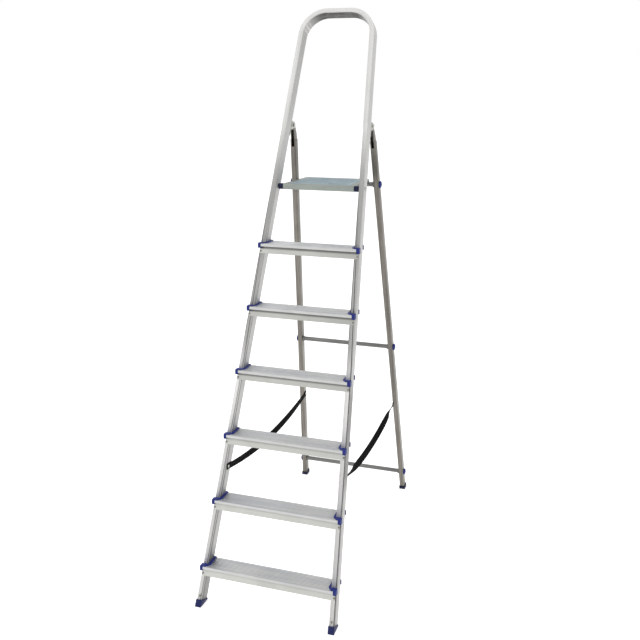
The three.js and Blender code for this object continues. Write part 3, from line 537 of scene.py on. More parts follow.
class Tree:
    """Lays shader nodes out in one node tree."""

    def __init__(self, tree: bpy.types.NodeTree) -> None:
        """Starts on an existing tree."""
        self.tree = tree

    def add(self, kind: str, inputs: dict[str | int, object] | None = None,
            **settings: object) -> bpy.types.Node:
        """Adds a node.

        Args:
            kind: The node's type, without its ShaderNode prefix.
            inputs: What each input gets, either a value or another node's output.
            settings: The node's own properties.

        Returns:
            The new node.
        """
        node = self.tree.nodes.new("ShaderNode" + kind)
        for key, value in settings.items():
            setattr(node, key, value)
        return self.feed(node, inputs or {})

    def feed(self, node: bpy.types.Node, inputs: dict[str | int, object]) -> bpy.types.Node:
        """Gives a node what its inputs take.

        Args:
            node: The node that takes them.
            inputs: What each input gets, either a value or another node's output.

        Returns:
            The same node.
        """
        for key, value in inputs.items():
            if isinstance(value, Socket):
                self.tree.links.new(value, node.inputs[key])
            else:
                node.inputs[key].default_value = value
        return node

    def blend(self, share: Socket, low: object, high: object, mode: str = "MIX") -> Socket:
        """Mixes two colours.

        Args:
            share: How much of the second colour shows.
            low: The first colour, as four numbers or a socket.
            high: The second colour.
            mode: How they blend.

        Returns:
            The mixed colour's socket.
        """
        node = self.add("Mix", {0: share, 6: low, 7: high}, data_type="RGBA", blend_type=mode)
        return node.outputs[2]

    def spread(self, value: Socket, low: float, high: float, to_low: float = 0.0,
               to_high: float = 1.0) -> Socket:
        """Stretches a value from one range to another and clamps it.

        Args:
            value: The value's socket.
            low: Start of the range it comes from.
            high: End of that range.
            to_low: Start of the range it goes to.
            to_high: End of that range.

        Returns:
            The stretched value's socket.
        """
        return self.add("MapRange", {0: value, 1: low, 2: high, 3: to_low, 4: to_high}).outputs[0]

    def maths(self, operation: str, *values: object) -> Socket:
        """Adds a maths node and gives its result."""
        return self.add("Math", dict(enumerate(values)), operation=operation).outputs[0]


def shader_group(name: str, inputs: dict[str, float | None],
                 outputs: Sequence[str]) -> tuple[bpy.types.NodeTree, Tree, bpy.types.Node, bpy.types.Node]:
    """Starts a node group with named sockets.

    Args:
        name: The group's name.
        inputs: Each input's name and starting value, where None stands for a vector.
        outputs: The names of the values that it puts out.

    Returns:
        The group, a tree to build in, and its input and output nodes.
    """
    group = bpy.data.node_groups.new(name, "ShaderNodeTree")
    for label, value in inputs.items():
        kind = "NodeSocketVector" if value is None else "NodeSocketFloat"
        socket = group.interface.new_socket(name=label, in_out="INPUT", socket_type=kind)
        if value is not None:
            socket.default_value = value
    for label in outputs:
        group.interface.new_socket(name=label, in_out="OUTPUT", socket_type="NodeSocketFloat")
    return group, Tree(group), group.nodes.new("NodeGroupInput"), group.nodes.new("NodeGroupOutput")


def drawn_lines_group() -> bpy.types.NodeTree:
    """Long fine lines that a die leaves along an extrusion; the vector's Z runs along it."""
    group, tree, given, out = shader_group(
        "drawn_lines", {"Vector": None, "Fineness": 900.0, "Length": 0.01}, ["Lines", "Height"])
    stretch = tree.add("CombineXYZ", {0: 1.0, 1: 1.0, 2: given.outputs["Length"]}).outputs[0]
    path = tree.add("VectorMath", {0: given.outputs["Vector"], 1: stretch},
                    operation="MULTIPLY").outputs[0]
    broad = tree.add("TexNoise", {"Vector": path, "Scale": given.outputs["Fineness"], "Detail": 4.0,
                                  "Roughness": 0.65})
    fine = tree.add("TexNoise", {"Vector": path, "Detail": 2.0,
                                 "Scale": tree.maths("MULTIPLY", given.outputs["Fineness"], 3.7)})
    both = tree.maths("ADD", tree.maths("MULTIPLY", broad.outputs[0], 0.7),
                      tree.maths("MULTIPLY", fine.outputs[0], 0.3))
    lines = tree.spread(both, 0.34, 0.66)
    tree.feed(out, {"Lines": lines, "Height": both})
    return group


def handling_group() -> bpy.types.NodeTree:
    """Soft smudges, sparse specks and short scratches from use."""
    group, tree, given, out = shader_group(
        "handling", {"Vector": None, "Size": 9.0}, ["Smudge", "Specks", "Scratches"])
    cloud = tree.add("TexNoise", {"Vector": given.outputs["Vector"], "Scale": given.outputs["Size"],
                                  "Detail": 5.0, "Roughness": 0.6, "Distortion": 0.8})
    dots = tree.add("TexVoronoi", {"Vector": given.outputs["Vector"],
                                   "Scale": tree.maths("MULTIPLY", given.outputs["Size"], 22.0)})
    where = tree.add("TexNoise", {"Vector": given.outputs["Vector"], "Detail": 1.0,
                                  "Scale": tree.maths("MULTIPLY", given.outputs["Size"], 3.0)})
    turned_path = tree.add("Mapping", {"Vector": given.outputs["Vector"], "Rotation": (0.5, 0.9, 0.4),
                                       "Scale": (1.0, 0.06, 1.0)}).outputs[0]
    hair = tree.add("TexNoise", {"Vector": turned_path, "Detail": 2.0,
                                 "Scale": tree.maths("MULTIPLY", given.outputs["Size"], 40.0)})
    specks = tree.maths("MULTIPLY", tree.spread(dots.outputs[0], 0.16, 0.05),
                        tree.spread(where.outputs[0], 0.55, 0.7))
    scratches = tree.maths("MULTIPLY", tree.spread(hair.outputs[0], 0.68, 0.74),
                           tree.spread(where.outputs[0], 0.5, 0.65))
    tree.feed(out, {"Smudge": tree.spread(cloud.outputs[0], 0.35, 0.68), "Specks": specks,
                    "Scratches": scratches})
    return group


def moulded_grain_group() -> bpy.types.NodeTree:
    """Fine leathery grain of moulded plastic and the flow marks under it."""
    group, tree, given, out = shader_group(
        "moulded_grain", {"Vector": None, "Fineness": 1400.0}, ["Height", "Flow"])
    grain = tree.add("TexVoronoi", {"Vector": given.outputs["Vector"],
                                    "Scale": given.outputs["Fineness"]}, feature="SMOOTH_F1")
    flow = tree.add("TexNoise", {"Vector": given.outputs["Vector"], "Scale": 38.0, "Detail": 4.0,
                                 "Distortion": 1.5})
    tree.feed(out, {"Height": grain.outputs[0], "Flow": tree.spread(flow.outputs[0], 0.35, 0.65)})
    return group


def webbing_weave_group() -> bpy.types.NodeTree:
    """Woven ribs of flat webbing; the vector's X runs across it and Y along it, in threads."""
    group, tree, given, out = shader_group("webbing_weave", {"Vector": None}, ["Height", "Tone"])
    parts = tree.add("SeparateXYZ", {0: given.outputs["Vector"]})
    across = tree.maths("SINE", tree.maths("MULTIPLY", parts.outputs[0], math.tau))
    shift = tree.maths("MULTIPLY", tree.maths("FLOOR", tree.maths("MULTIPLY", parts.outputs[0], 2.0)),
                       0.5)
    along = tree.maths("SINE", tree.maths(
        "MULTIPLY", tree.maths("ADD", parts.outputs[1], shift), math.tau))
    lift = tree.maths("MULTIPLY", tree.maths("ABSOLUTE", across), tree.maths("ABSOLUTE", along))
    fuzz = tree.add("TexNoise", {"Vector": given.outputs["Vector"], "Scale": 5.0, "Detail": 4.0})
    height = tree.maths("ADD", lift, tree.maths("MULTIPLY", fuzz.outputs[0], 0.35))
    tree.feed(out, {"Height": height, "Tone": tree.spread(height, 0.2, 1.2)})
    return group


# ---- finishes -----------------------------------------------------------------------------------


class Run(Enum):
    """Which way the lines of a metal run on its piece."""

    HOOP = "hoop"
    REAR_LEG = "rear leg"
    CROSSWISE = "crosswise"


class Finish:
    """Common ground of all finishes: one material, built once."""

    groups: dict[str, bpy.types.NodeTree] = {}
    made: dict[str, bpy.types.Material] = {}

    @classmethod
    def prepare(cls) -> None:
        """Builds the node groups that the finishes share."""
        for group in (drawn_lines_group(), handling_group(), moulded_grain_group(),
                      webbing_weave_group()):
            cls.groups[group.name] = group

    @classmethod
    def shared(cls, tree: Tree, name: str, **inputs: object) -> bpy.types.Node:
        """Places a shared effect in a material.

        Args:
            tree: The material's tree.
            name: The effect's group.
            inputs: Its values.

        Returns:
            The group's node.
        """
        node = tree.tree.nodes.new("ShaderNodeGroup")
        node.node_tree = cls.groups[name]
        return tree.feed(node, inputs)

    def begin(self, name: str) -> tuple[bpy.types.Material, Tree, bpy.types.Node]:
        """Starts a material.

        Args:
            name: The material's name.

        Returns:
            The material, its tree and its main shader.
        """
        material = bpy.data.materials.new(name)
        material.use_nodes = True
        tree = Tree(material.node_tree)
        return material, tree, material.node_tree.nodes["Principled BSDF"]

    def cover(self, tree: Tree, shader: bpy.types.Node, shade: Socket,
              gloss: Socket, height: Socket, relief: float,
              depth: float, **plain: float) -> None:
        """Wires a finish's colour, roughness and relief into its shader.

        Args:
            tree: The material's tree.
            shader: Its main shader.
            shade: The colour.
            gloss: Nought where the surface is smoothest and one where it is roughest.
            height: The relief's height.
            relief: How strongly the relief shows.
            depth: The depth that one unit of height stands for.
            plain: Plain values for the shader's other inputs.
        """
        bump = tree.add("Bump", {"Height": height, "Strength": relief, "Distance": depth})
        roughness = tree.spread(gloss, 0, 1, self.smooth, self.rough)
        tree.feed(shader, {"Base Color": shade, "Roughness": roughness, "Normal": bump.outputs[0],
                           **plain})

    def material(self) -> bpy.types.Material:
        """The finish's material, built at its first use."""
        if self.name not in Finish.made:
            Finish.made[self.name] = self.build()
        return Finish.made[self.name]


@dataclass(frozen=True)
class DrawnMetal(Finish):
    """Aluminium as the die leaves it: long lines, smudges and few scratches."""

    name: str
    light: Colour
    dark: Colour
    run: Run
    smooth: float = 0.24
    rough: float = 0.42
    fineness: float = 260.0
    length: float = 0.012
    line_share: float = 0.5
    smudge_size: float = 7.0
    smudge_share: float = 0.35
    speck_share: float = 0.25
    speck_shade: float = 0.6
    line_gloss: float = 0.4
    smudge_gloss: float = 0.6
    scratch_gloss: float = 0.5
    scratch_depth: float = 0.6
    relief: float = 0.06
    metallic: float = 1.0

    def lay(self, tree: Tree) -> Socket:
        """Coordinates whose Z runs along the piece."""
        if self.run is Run.HOOP:
            return tree.add("Attribute", attribute_name="run").outputs["Vector"]
        turns = {Run.REAR_LEG: (-math.atan(STANCE.rear_lean), 0, 0),
                 Run.CROSSWISE: (0, -math.pi / 2, 0)}
        place = tree.add("TexCoord").outputs["Object"]
        return tree.add("Mapping", {"Vector": place, "Rotation": turns[self.run]}).outputs[0]

    def tinted(self, tree: Tree, share: Socket, shade: Socket, factor: float) -> Socket:
        """Darkens the shade by a factor where the share is one."""
        return tree.blend(share, shade, (factor, factor, factor, 1), "MULTIPLY")

    def both(self, tree: Tree, *shares: Socket) -> Socket:
        """The share where all the given ones hold."""
        joined = shares[0]
        for share in shares[1:]:
            joined = tree.maths("MULTIPLY", joined, share)
        return joined

    def streaks(self, tree: Tree, path: Socket, lie: Colour, **noise: float) -> Socket:
        """Noise that is drawn out along the axes on which its lie is small."""
        drawn_out = tree.add("VectorMath", {0: path, 1: lie}, operation="MULTIPLY").outputs[0]
        return tree.add("TexNoise", {"Vector": drawn_out, **noise}).outputs[0]

    def zoned(self, tree: Tree, path: Socket, shade: Socket) -> Socket:
        """Tints single zones of the piece; a plain extrusion has none."""
        return shade

    def build(self) -> bpy.types.Material:
        """Builds the material."""
        material, tree, shader = self.begin(self.name)
        path = self.lay(tree)
        lines = self.shared(tree, "drawn_lines", Vector=path, Fineness=self.fineness,
                            Length=self.length)
        place = tree.add("TexCoord").outputs["Object"]
        marks = self.shared(tree, "handling", Vector=place, Size=self.smudge_size)
        drawn = tree.maths("MULTIPLY", lines.outputs["Lines"], self.line_share)
        shade = tree.blend(drawn, (*self.light, 1), (*self.dark, 1))
        smudged = tree.maths("MULTIPLY", marks.outputs["Smudge"], self.smudge_share)
        shade = tree.blend(smudged, shade, (*self.dark, 1))
        shade = tree.blend(tree.maths("MULTIPLY", marks.outputs["Specks"], self.speck_share), shade,
                           (*(self.speck_shade * c for c in self.dark), 1))
        shade = self.zoned(tree, path, shade)
        scratches = marks.outputs["Scratches"]
        gloss = tree.maths("ADD", tree.maths("MULTIPLY", lines.outputs["Lines"], self.line_gloss),
                           tree.maths("MULTIPLY", marks.outputs["Smudge"], self.smudge_gloss))
        gloss = tree.maths("ADD", gloss, tree.maths("MULTIPLY", scratches, self.scratch_gloss))
        height = tree.maths("SUBTRACT", lines.outputs["Height"],
                            tree.maths("MULTIPLY", scratches, self.scratch_depth))
        self.cover(tree, shader, shade, gloss, height, self.relief, MM, Metallic=self.metallic)
        return material


@dataclass(frozen=True)
class HoopMetal(DrawnMetal):
    """The hoop's own metal, with painted shade and reflection: darker front, inside and outside faces, dark
    grooves, a dark streaked rail underside and dark lines on the front faces.
    """

    bend_radius: float = 93 * MM
    half_width: float = 9 * MM
    half_rail: float = 45 * MM
    # Painted shade on the front faces: where its bands start and end along the tube, and how dark each is.
    lower_from: float = 1.4
    mid_face_shade_from: float = 0.64
    deep_from: float = 0.78
    deep_to: float = 1.02
    upper: float = 0.76
    mid_face_shade: float = 0.66
    deep: float = 0.85
    # Painted shade on the inside and outside faces.
    inside: float = 0.74
    outside: float = 0.66
    # Painted shade under the rail.
    under: float = 0.055
    # Painted shade in the grooves.
    groove: float = 0.3
    # Width and shade of the painted reflection lines on the front faces.
    edge_line: float = 2 * MM
    reflection_line_dark: float = 0.03
    fade: float = 0.08
    # Zones of painted shade along the inside and outside faces: start, end and factor.
    inner_zones: tuple[Zone, ...] = ((0.55, 0.4, 0.8), (2.08, 2.12, 0.65))
    outer_zones: tuple[Zone, ...] = ((1.52, 1.78, 0.5), (1.05, 1.3, 0.9))

    def stretch(self, tree: Tree, value: Socket, low: float, high: float, soft: float) -> Socket:
        """One between two values, with soft ends outside them."""
        return self.both(tree, tree.spread(value, low - soft, low),
                         tree.spread(value, high + soft, high))

    def painted_face_shade(self, tree: Tree, shade: Socket, face: Socket, to_middle: Socket) -> Socket:
        """Paints shade on the front face above the fourth tread, darkest a little under the platform."""
        above = tree.spread(to_middle, self.lower_from + 0.06, self.lower_from - 0.06)
        mid_face_shade = self.both(tree, above, tree.spread(to_middle, self.mid_face_shade_from - 0.1, self.mid_face_shade_from + 0.06))
        deep = self.stretch(tree, to_middle, self.deep_from, self.deep_to, 0.1)
        shade = self.tinted(tree, self.both(tree, above, face), shade, self.upper)
        shade = self.tinted(tree, self.both(tree, mid_face_shade, face), shade, self.mid_face_shade)
        return self.tinted(tree, self.both(tree, deep, face), shade, self.deep)

    def painted_reflection_lines(self, tree: Tree, shade: Socket, offset: Socket,
                   behind: Socket, along: Socket) -> Socket:
        """Paints a dark reflection line that runs up one edge of each front face and crosses it higher up,
        and a second one along the other edge.
        """
        to_middle = tree.maths("ABSOLUTE", along)
        near = tree.spread(behind, 3.6 * MM, 2.2 * MM)
        rightward = tree.maths("MULTIPLY", offset, tree.spread(along, -MM, MM, -1.0, 1.0))
        edge = self.half_width - self.edge_line
        start = tree.spread(along, -0.1, 0.1, edge - 1.4 * MM, edge + MM)
        course = tree.maths("ADD", start, tree.spread(to_middle, self.lower_from, 0.84, 0.0,
                                                      -2 * edge))
        apart = tree.maths("ABSOLUTE", tree.maths("SUBTRACT", rightward, course))
        line = self.both(tree, tree.spread(apart, self.edge_line, 0.35 * self.edge_line), near,
                         tree.spread(to_middle, 0.78, 1.12), tree.spread(along, -0.1, 0.1, 0.75, 0.95))
        other = tree.maths("ABSOLUTE", tree.maths("ADD", rightward, edge + MM))
        rim = self.both(tree, tree.spread(other, 1.2 * self.edge_line, 0.6 * self.edge_line), near,
                        self.stretch(tree, to_middle, 0.84, 1.3, self.fade))
        dark = (self.reflection_line_dark,) * 3 + (1,)
        return tree.blend(line, tree.blend(self.both(tree, rim, rim), shade, dark), dark)

    def zoned(self, tree: Tree, path: Socket, shade: Socket) -> Socket:
        """Tints the zones by where a point lies across, behind and along the tube."""
        across, behind, along = tree.add("SeparateXYZ", {0: path}).outputs
        offset = tree.maths("SUBTRACT", across, self.bend_radius)
        to_middle = tree.maths("ABSOLUTE", along)
        edge = self.half_width
        inner = tree.spread(offset, 0.8 * MM - edge, 0.1 * MM - edge)
        outer = tree.spread(offset, edge - 0.8 * MM, edge - 0.1 * MM)
        face = tree.spread(behind, 1.6 * MM, 0.4 * MM)
        rail = tree.spread(to_middle, self.half_rail + 90 * MM, self.half_rail + 30 * MM)
        # Painted shade on the front faces, by height.
        shade = self.painted_face_shade(tree, shade, face, to_middle)
        streaks = self.streaks(tree, path, (1.0, 1.0, 0.16), Scale=150.0, Detail=3.0, Roughness=0.7,
                               Distortion=0.6)
        streak = tree.spread(streaks, 0.42, 0.58, 0.75, 1.0)
        # Painted reflection: the inner half of the tube a little darker than its outer half.
        stripe = tree.spread(offset, -1.2 * MM, 0.6 * MM, 0.06, 0.0)
        shade = tree.blend(stripe, shade, (0, 0, 0, 1))
        # Painted shade: darker inside and outside faces, darker still in zones along them.
        shade = self.tinted(tree, inner, shade, self.inside)
        for low, high, factor in self.inner_zones:
            share = self.both(tree, inner, tree.spread(to_middle, low, high))
            shade = self.tinted(tree, share, shade, factor)
        shade = self.tinted(tree, outer, shade, self.outside)
        for low, high, factor in self.outer_zones:
            share = self.both(tree, outer, self.stretch(tree, to_middle, low, high, self.fade))
            shade = self.tinted(tree, share, shade, factor)
        # Painted shade under the rail, broken up by streaks.
        deep_shade = (self.under, 1.02 * self.under, 0.94 * self.under, 1)
        shade = tree.blend(self.both(tree, inner, rail, streak), shade, deep_shade)
        # Painted dark reflection along the rail's outer face.
        rim = tree.maths("MULTIPLY", self.both(tree, outer, rail), 0.6)
        shade = tree.blend(rim, shade, (0.1, 0.1, 0.095, 1))
        # Painted shade in the grooves.
        sunk = self.both(tree, self.stretch(tree, behind, 5.3 * MM, 12.7 * MM, 0.3 * MM),
                         tree.spread(tree.maths("ABSOLUTE", offset), edge - 0.35 * MM, edge - 1.0 * MM))
        shade = tree.blend(sunk, shade, (self.groove, self.groove, 0.97 * self.groove, 1))
        # Painted dark reflection lines on the front faces.
        return self.painted_reflection_lines(tree, shade, offset, behind, along)


@dataclass(frozen=True)
class LegMetal(DrawnMetal):
    """The rear legs' own metal, with painted shade near their hoods."""

    darker_above: float = 1.4
    shade_above: float = 0.85

    def zoned(self, tree: Tree, path: Socket, shade: Socket) -> Socket:
        """Paints shade on the leg above the platform."""
        height = tree.add("SeparateXYZ", {0: tree.add("TexCoord").outputs["Object"]}).outputs[2]
        upper = tree.spread(height, self.darker_above - 0.05, self.darker_above + 0.05)
        return self.tinted(tree, upper, shade, self.shade_above)


@dataclass(frozen=True)
class TreadMetal(DrawnMetal):
    """The treads' own metal, with painted shade on the aprons and nose fronts, and a painted shadow under
    each nose.
    """

    first_top: float = 139 * MM
    spacing: float = 215 * MM
    nose: float = 11 * MM
    # Painted shade on the aprons, deeper on the upper treads.
    apron_shade: float = 0.72
    upper_apron_shade: float = 0.85
    # Painted shadow under each nose.
    nose_shadow_shade: float = 0.45
    # Painted shade on the nose fronts.
    edge_shade: float = 0.72
    streak_tint: Colour = (0.88, 0.89, 0.94)

    def zoned(self, tree: Tree, path: Socket, shade: Socket) -> Socket:
        """Tints the zones by how far a point lies below the top of its own tread."""
        place = tree.add("TexCoord").outputs["Object"]
        height = tree.add("SeparateXYZ", {0: place}).outputs[2]
        drop = tree.maths("SUBTRACT", self.first_top + MM, height)
        turns = tree.maths("FRACT", tree.maths("DIVIDE", drop, self.spacing))
        depth = tree.maths("SUBTRACT", tree.maths("MULTIPLY", turns, self.spacing), MM)
        streaks = self.streaks(tree, place, (0.05, 1.0, 0.3), Scale=75.0, Detail=2.0, Distortion=0.3)
        streak = self.both(tree, tree.spread(streaks, 0.4, 0.6), tree.spread(depth, 2 * MM, 1 * MM))
        shade = tree.blend(streak, shade, (*self.streak_tint, 1), "MULTIPLY")
        # Painted shade on the aprons, deeper on the upper treads.
        apron = tree.spread(depth, self.nose - MM, self.nose + 0.5 * MM)
        shade = tree.blend(apron, shade, (self.apron_shade, self.apron_shade,
                                          0.96 * self.apron_shade, 1), "MULTIPLY")
        higher = self.both(tree, apron, tree.spread(height, 0.5, 0.9))
        shade = self.tinted(tree, higher, shade, self.upper_apron_shade)
        # Painted shadow under the nose, fainter on the lower treads.
        nose_shadow = self.both(tree, tree.spread(depth, self.nose - MM, self.nose),
                         tree.spread(depth, self.nose + 11 * MM, self.nose + 7 * MM),
                         tree.spread(height, 0.5, 0.8, 0.25, 1.0))
        # Painted shade on the faces just under the top, mostly the nose fronts.
        edge = self.both(tree, tree.spread(depth, 0.1 * MM, 0.5 * MM),
                         tree.spread(depth, self.nose + MM, self.nose))
        shade = self.tinted(tree, edge, shade, self.edge_shade)
        return self.tinted(tree, nose_shadow, shade, self.nose_shadow_shade)


@dataclass(frozen=True)
class ZincedSteel(Finish):
    """Zinc-plated steel with a faint crystalline spangle."""

    name: str
    light: Colour
    dark: Colour
    grain: float = 420.0
    relief: float = 0.08
    smooth: float = 0.28
    rough: float = 0.5

    def build(self) -> bpy.types.Material:
        """Builds the material."""
        material, tree, shader = self.begin(self.name)
        place = tree.add("TexCoord").outputs["Object"]
        crystals = tree.add("TexVoronoi", {"Vector": place, "Scale": self.grain, "Randomness": 1.0})
        tone = tree.add("SeparateColor", {0: crystals.outputs["Color"]}).outputs[0]
        marks = self.shared(tree, "handling", Vector=place, Size=60.0)
        both = tree.maths("ADD", tree.maths("MULTIPLY", tone, 0.6),
                          tree.maths("MULTIPLY", marks.outputs["Smudge"], 0.4))
        shade = tree.blend(both, (*self.light, 1), (*self.dark, 1))
        self.cover(tree, shader, shade, both, tone, self.relief, MM, Metallic=1.0)
        return material


@dataclass(frozen=True)
class TreadPlate(Finish):
    """Coated non-slip sheet: a close raised grain over soft colour patches."""

    name: str
    light: Colour
    dark: Colour
    grain: float = 330.0
    relief: float = 0.35
    metallic: float = 0.45
    smooth: float = 0.4
    rough: float = 0.62

    def build(self) -> bpy.types.Material:
        """Builds the material."""
        material, tree, shader = self.begin(self.name)
        place = tree.add("TexCoord").outputs["Object"]
        studs = tree.add("TexVoronoi", {"Vector": place, "Scale": self.grain, "Randomness": 0.55})
        marks = self.shared(tree, "handling", Vector=place, Size=11.0)
        raised = tree.spread(studs.outputs[0], 0.45, 0.2)
        mix = tree.maths("ADD", tree.maths("MULTIPLY", tree.maths("SUBTRACT", 1.0, raised), 0.55),
                         tree.maths("MULTIPLY", marks.outputs["Smudge"], 0.45))
        shade = tree.blend(mix, (*self.light, 1), (*self.dark, 1))
        self.cover(tree, shader, shade, mix, raised, self.relief, MM / 2, Metallic=self.metallic)
        return material


@dataclass(frozen=True)
class Moulding(Finish):
    """Injection-moulded plastic with fine grain, flow marks and a little scuffing."""

    name: str
    body: Colour
    scuffed: Colour
    smooth: float = 0.36
    rough: float = 0.56
    relief: float = 0.12
    specular: float = 0.22

    def build(self) -> bpy.types.Material:
        """Builds the material."""
        material, tree, shader = self.begin(self.name)
        place = tree.add("TexCoord").outputs["Object"]
        grain = self.shared(tree, "moulded_grain", Vector=place, Fineness=1300.0)
        marks = self.shared(tree, "handling", Vector=place, Size=24.0)
        deep = tuple(0.78 * c for c in self.body)
        shade = tree.blend(tree.maths("MULTIPLY", grain.outputs["Flow"], 0.6), (*self.body, 1),
                           (*deep, 1))
        scuffs = tree.maths("ADD", tree.maths("MULTIPLY", marks.outputs["Scratches"], 0.45),
                            tree.maths("MULTIPLY", marks.outputs["Specks"], 0.3))
        shade = tree.blend(scuffs, shade, (*self.scuffed, 1))
        gloss = tree.maths("ADD", tree.maths("MULTIPLY", grain.outputs["Flow"], 0.5),
                           tree.maths("MULTIPLY", marks.outputs["Smudge"], 0.5))
        self.cover(tree, shader, shade, gloss, grain.outputs["Height"], self.relief, MM / 4,
                   **{"Specular IOR Level": self.specular})
        return material


@dataclass(frozen=True)
class Webbing(Finish):
    """Woven black webbing, read from the strap's own UV map."""

    name: str
    light: Colour
    dark: Colour
    threads_across: float = 9.0
    threads_along: float = 300.0
    relief: float = 0.7
    specular: float = 0.04

    def build(self) -> bpy.types.Material:
        """Builds the material."""
        material, tree, shader = self.begin(self.name)
        flat = tree.add("UVMap", uv_map="weave").outputs[0]
        threads = tree.add("Mapping", {"Vector": flat,
                                       "Scale": (self.threads_across, self.threads_along, 1)})
        weave = self.shared(tree, "webbing_weave", Vector=threads.outputs[0])
        height = weave.outputs["Height"]
        bump = tree.add("Bump", {"Height": height, "Strength": self.relief, "Distance": MM / 3})
        shade = tree.blend(weave.outputs["Tone"], (*self.dark, 1), (*self.light, 1))
        tree.feed(shader, {"Base Color": shade, "Normal": bump.outputs[0],
                           "Roughness": tree.spread(height, 0, 1.2, 0.85, 0.6),
                           "Specular IOR Level": self.specular})
        return material


POLISHED = HoopMetal("polished_tube", (0.9, 0.895, 0.88), (0.68, 0.675, 0.66), Run.HOOP,
                     smooth=0.5, rough=0.6, metallic=0.5, line_share=0.35, smudge_share=0.2)
TREAD_METAL = TreadMetal("tread_extrusion", (0.74, 0.745, 0.735), (0.58, 0.585, 0.575), Run.CROSSWISE,
                         smooth=0.36, rough=0.54, fineness=420.0, line_share=0.35)
LEG_METAL = LegMetal("rear_tube", (0.28, 0.262, 0.235), (0.1, 0.092, 0.08), Run.REAR_LEG,
                     smooth=0.28, rough=0.44, fineness=150.0, length=0.006, line_share=0.8)
BAR_METAL = DrawnMetal("crossbar_tube", (0.2, 0.2, 0.195), (0.08, 0.08, 0.078), Run.CROSSWISE,
                       smooth=0.28, rough=0.44)
DECK_METAL = DrawnMetal("platform_frame", (0.3, 0.324, 0.3), (0.216, 0.238, 0.223), Run.CROSSWISE,
                        smooth=0.38, rough=0.55, fineness=120.0, length=0.2)
PANEL_SHEET = TreadPlate("platform_sheet", (0.39, 0.47, 0.5), (0.262, 0.332, 0.369))
ZINC = ZincedSteel("zinc_plate", (0.55, 0.55, 0.51), (0.32, 0.33, 0.3))
DARK_ZINC = ZincedSteel("rivet_steel", (0.3, 0.29, 0.26), (0.14, 0.13, 0.11), grain=900.0)
BLACKENED = ZincedSteel("blackened_steel", (0.05, 0.05, 0.05), (0.02, 0.02, 0.02))
BLUE = Moulding("blue_moulding", (0.018, 0.03, 0.2), (0.1, 0.13, 0.34))
BOOT_BLUE = Moulding("boot_moulding", (0.012, 0.018, 0.1), (0.07, 0.09, 0.2))
NAVY = Moulding("navy_moulding", (0.006, 0.009, 0.045), (0.05, 0.06, 0.12))
WEBBING = Webbing("black_webbing", (0.008, 0.008, 0.009), (0.002, 0.002, 0.0025))


def installed(piece: Piece, body: Body, finish: Finish | None, slot: str, *nodes: str) -> Piece:
    """Gives a finished piece its material and body, and hides the nodes that it stands for.

    Args:
        piece: The finished piece.
        body: The body that carries it.
        finish: Its finish, or None where it has one already.
        slot: The record's material slot; not used.
        nodes: The plain solids that it replaces.

    Returns:
        The same piece.
    """
    if finish is not None:
        piece.data.materials.clear()
        piece.data.materials.append(finish.material())
    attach(piece, body.value)
    if nodes:
        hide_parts(*nodes)
    log.info("%s: %d faces, rides on %s", piece.name, len(piece.data.polygons), body.value)
    return piece


# ---- front frame --------------------------------------------------------------------------------


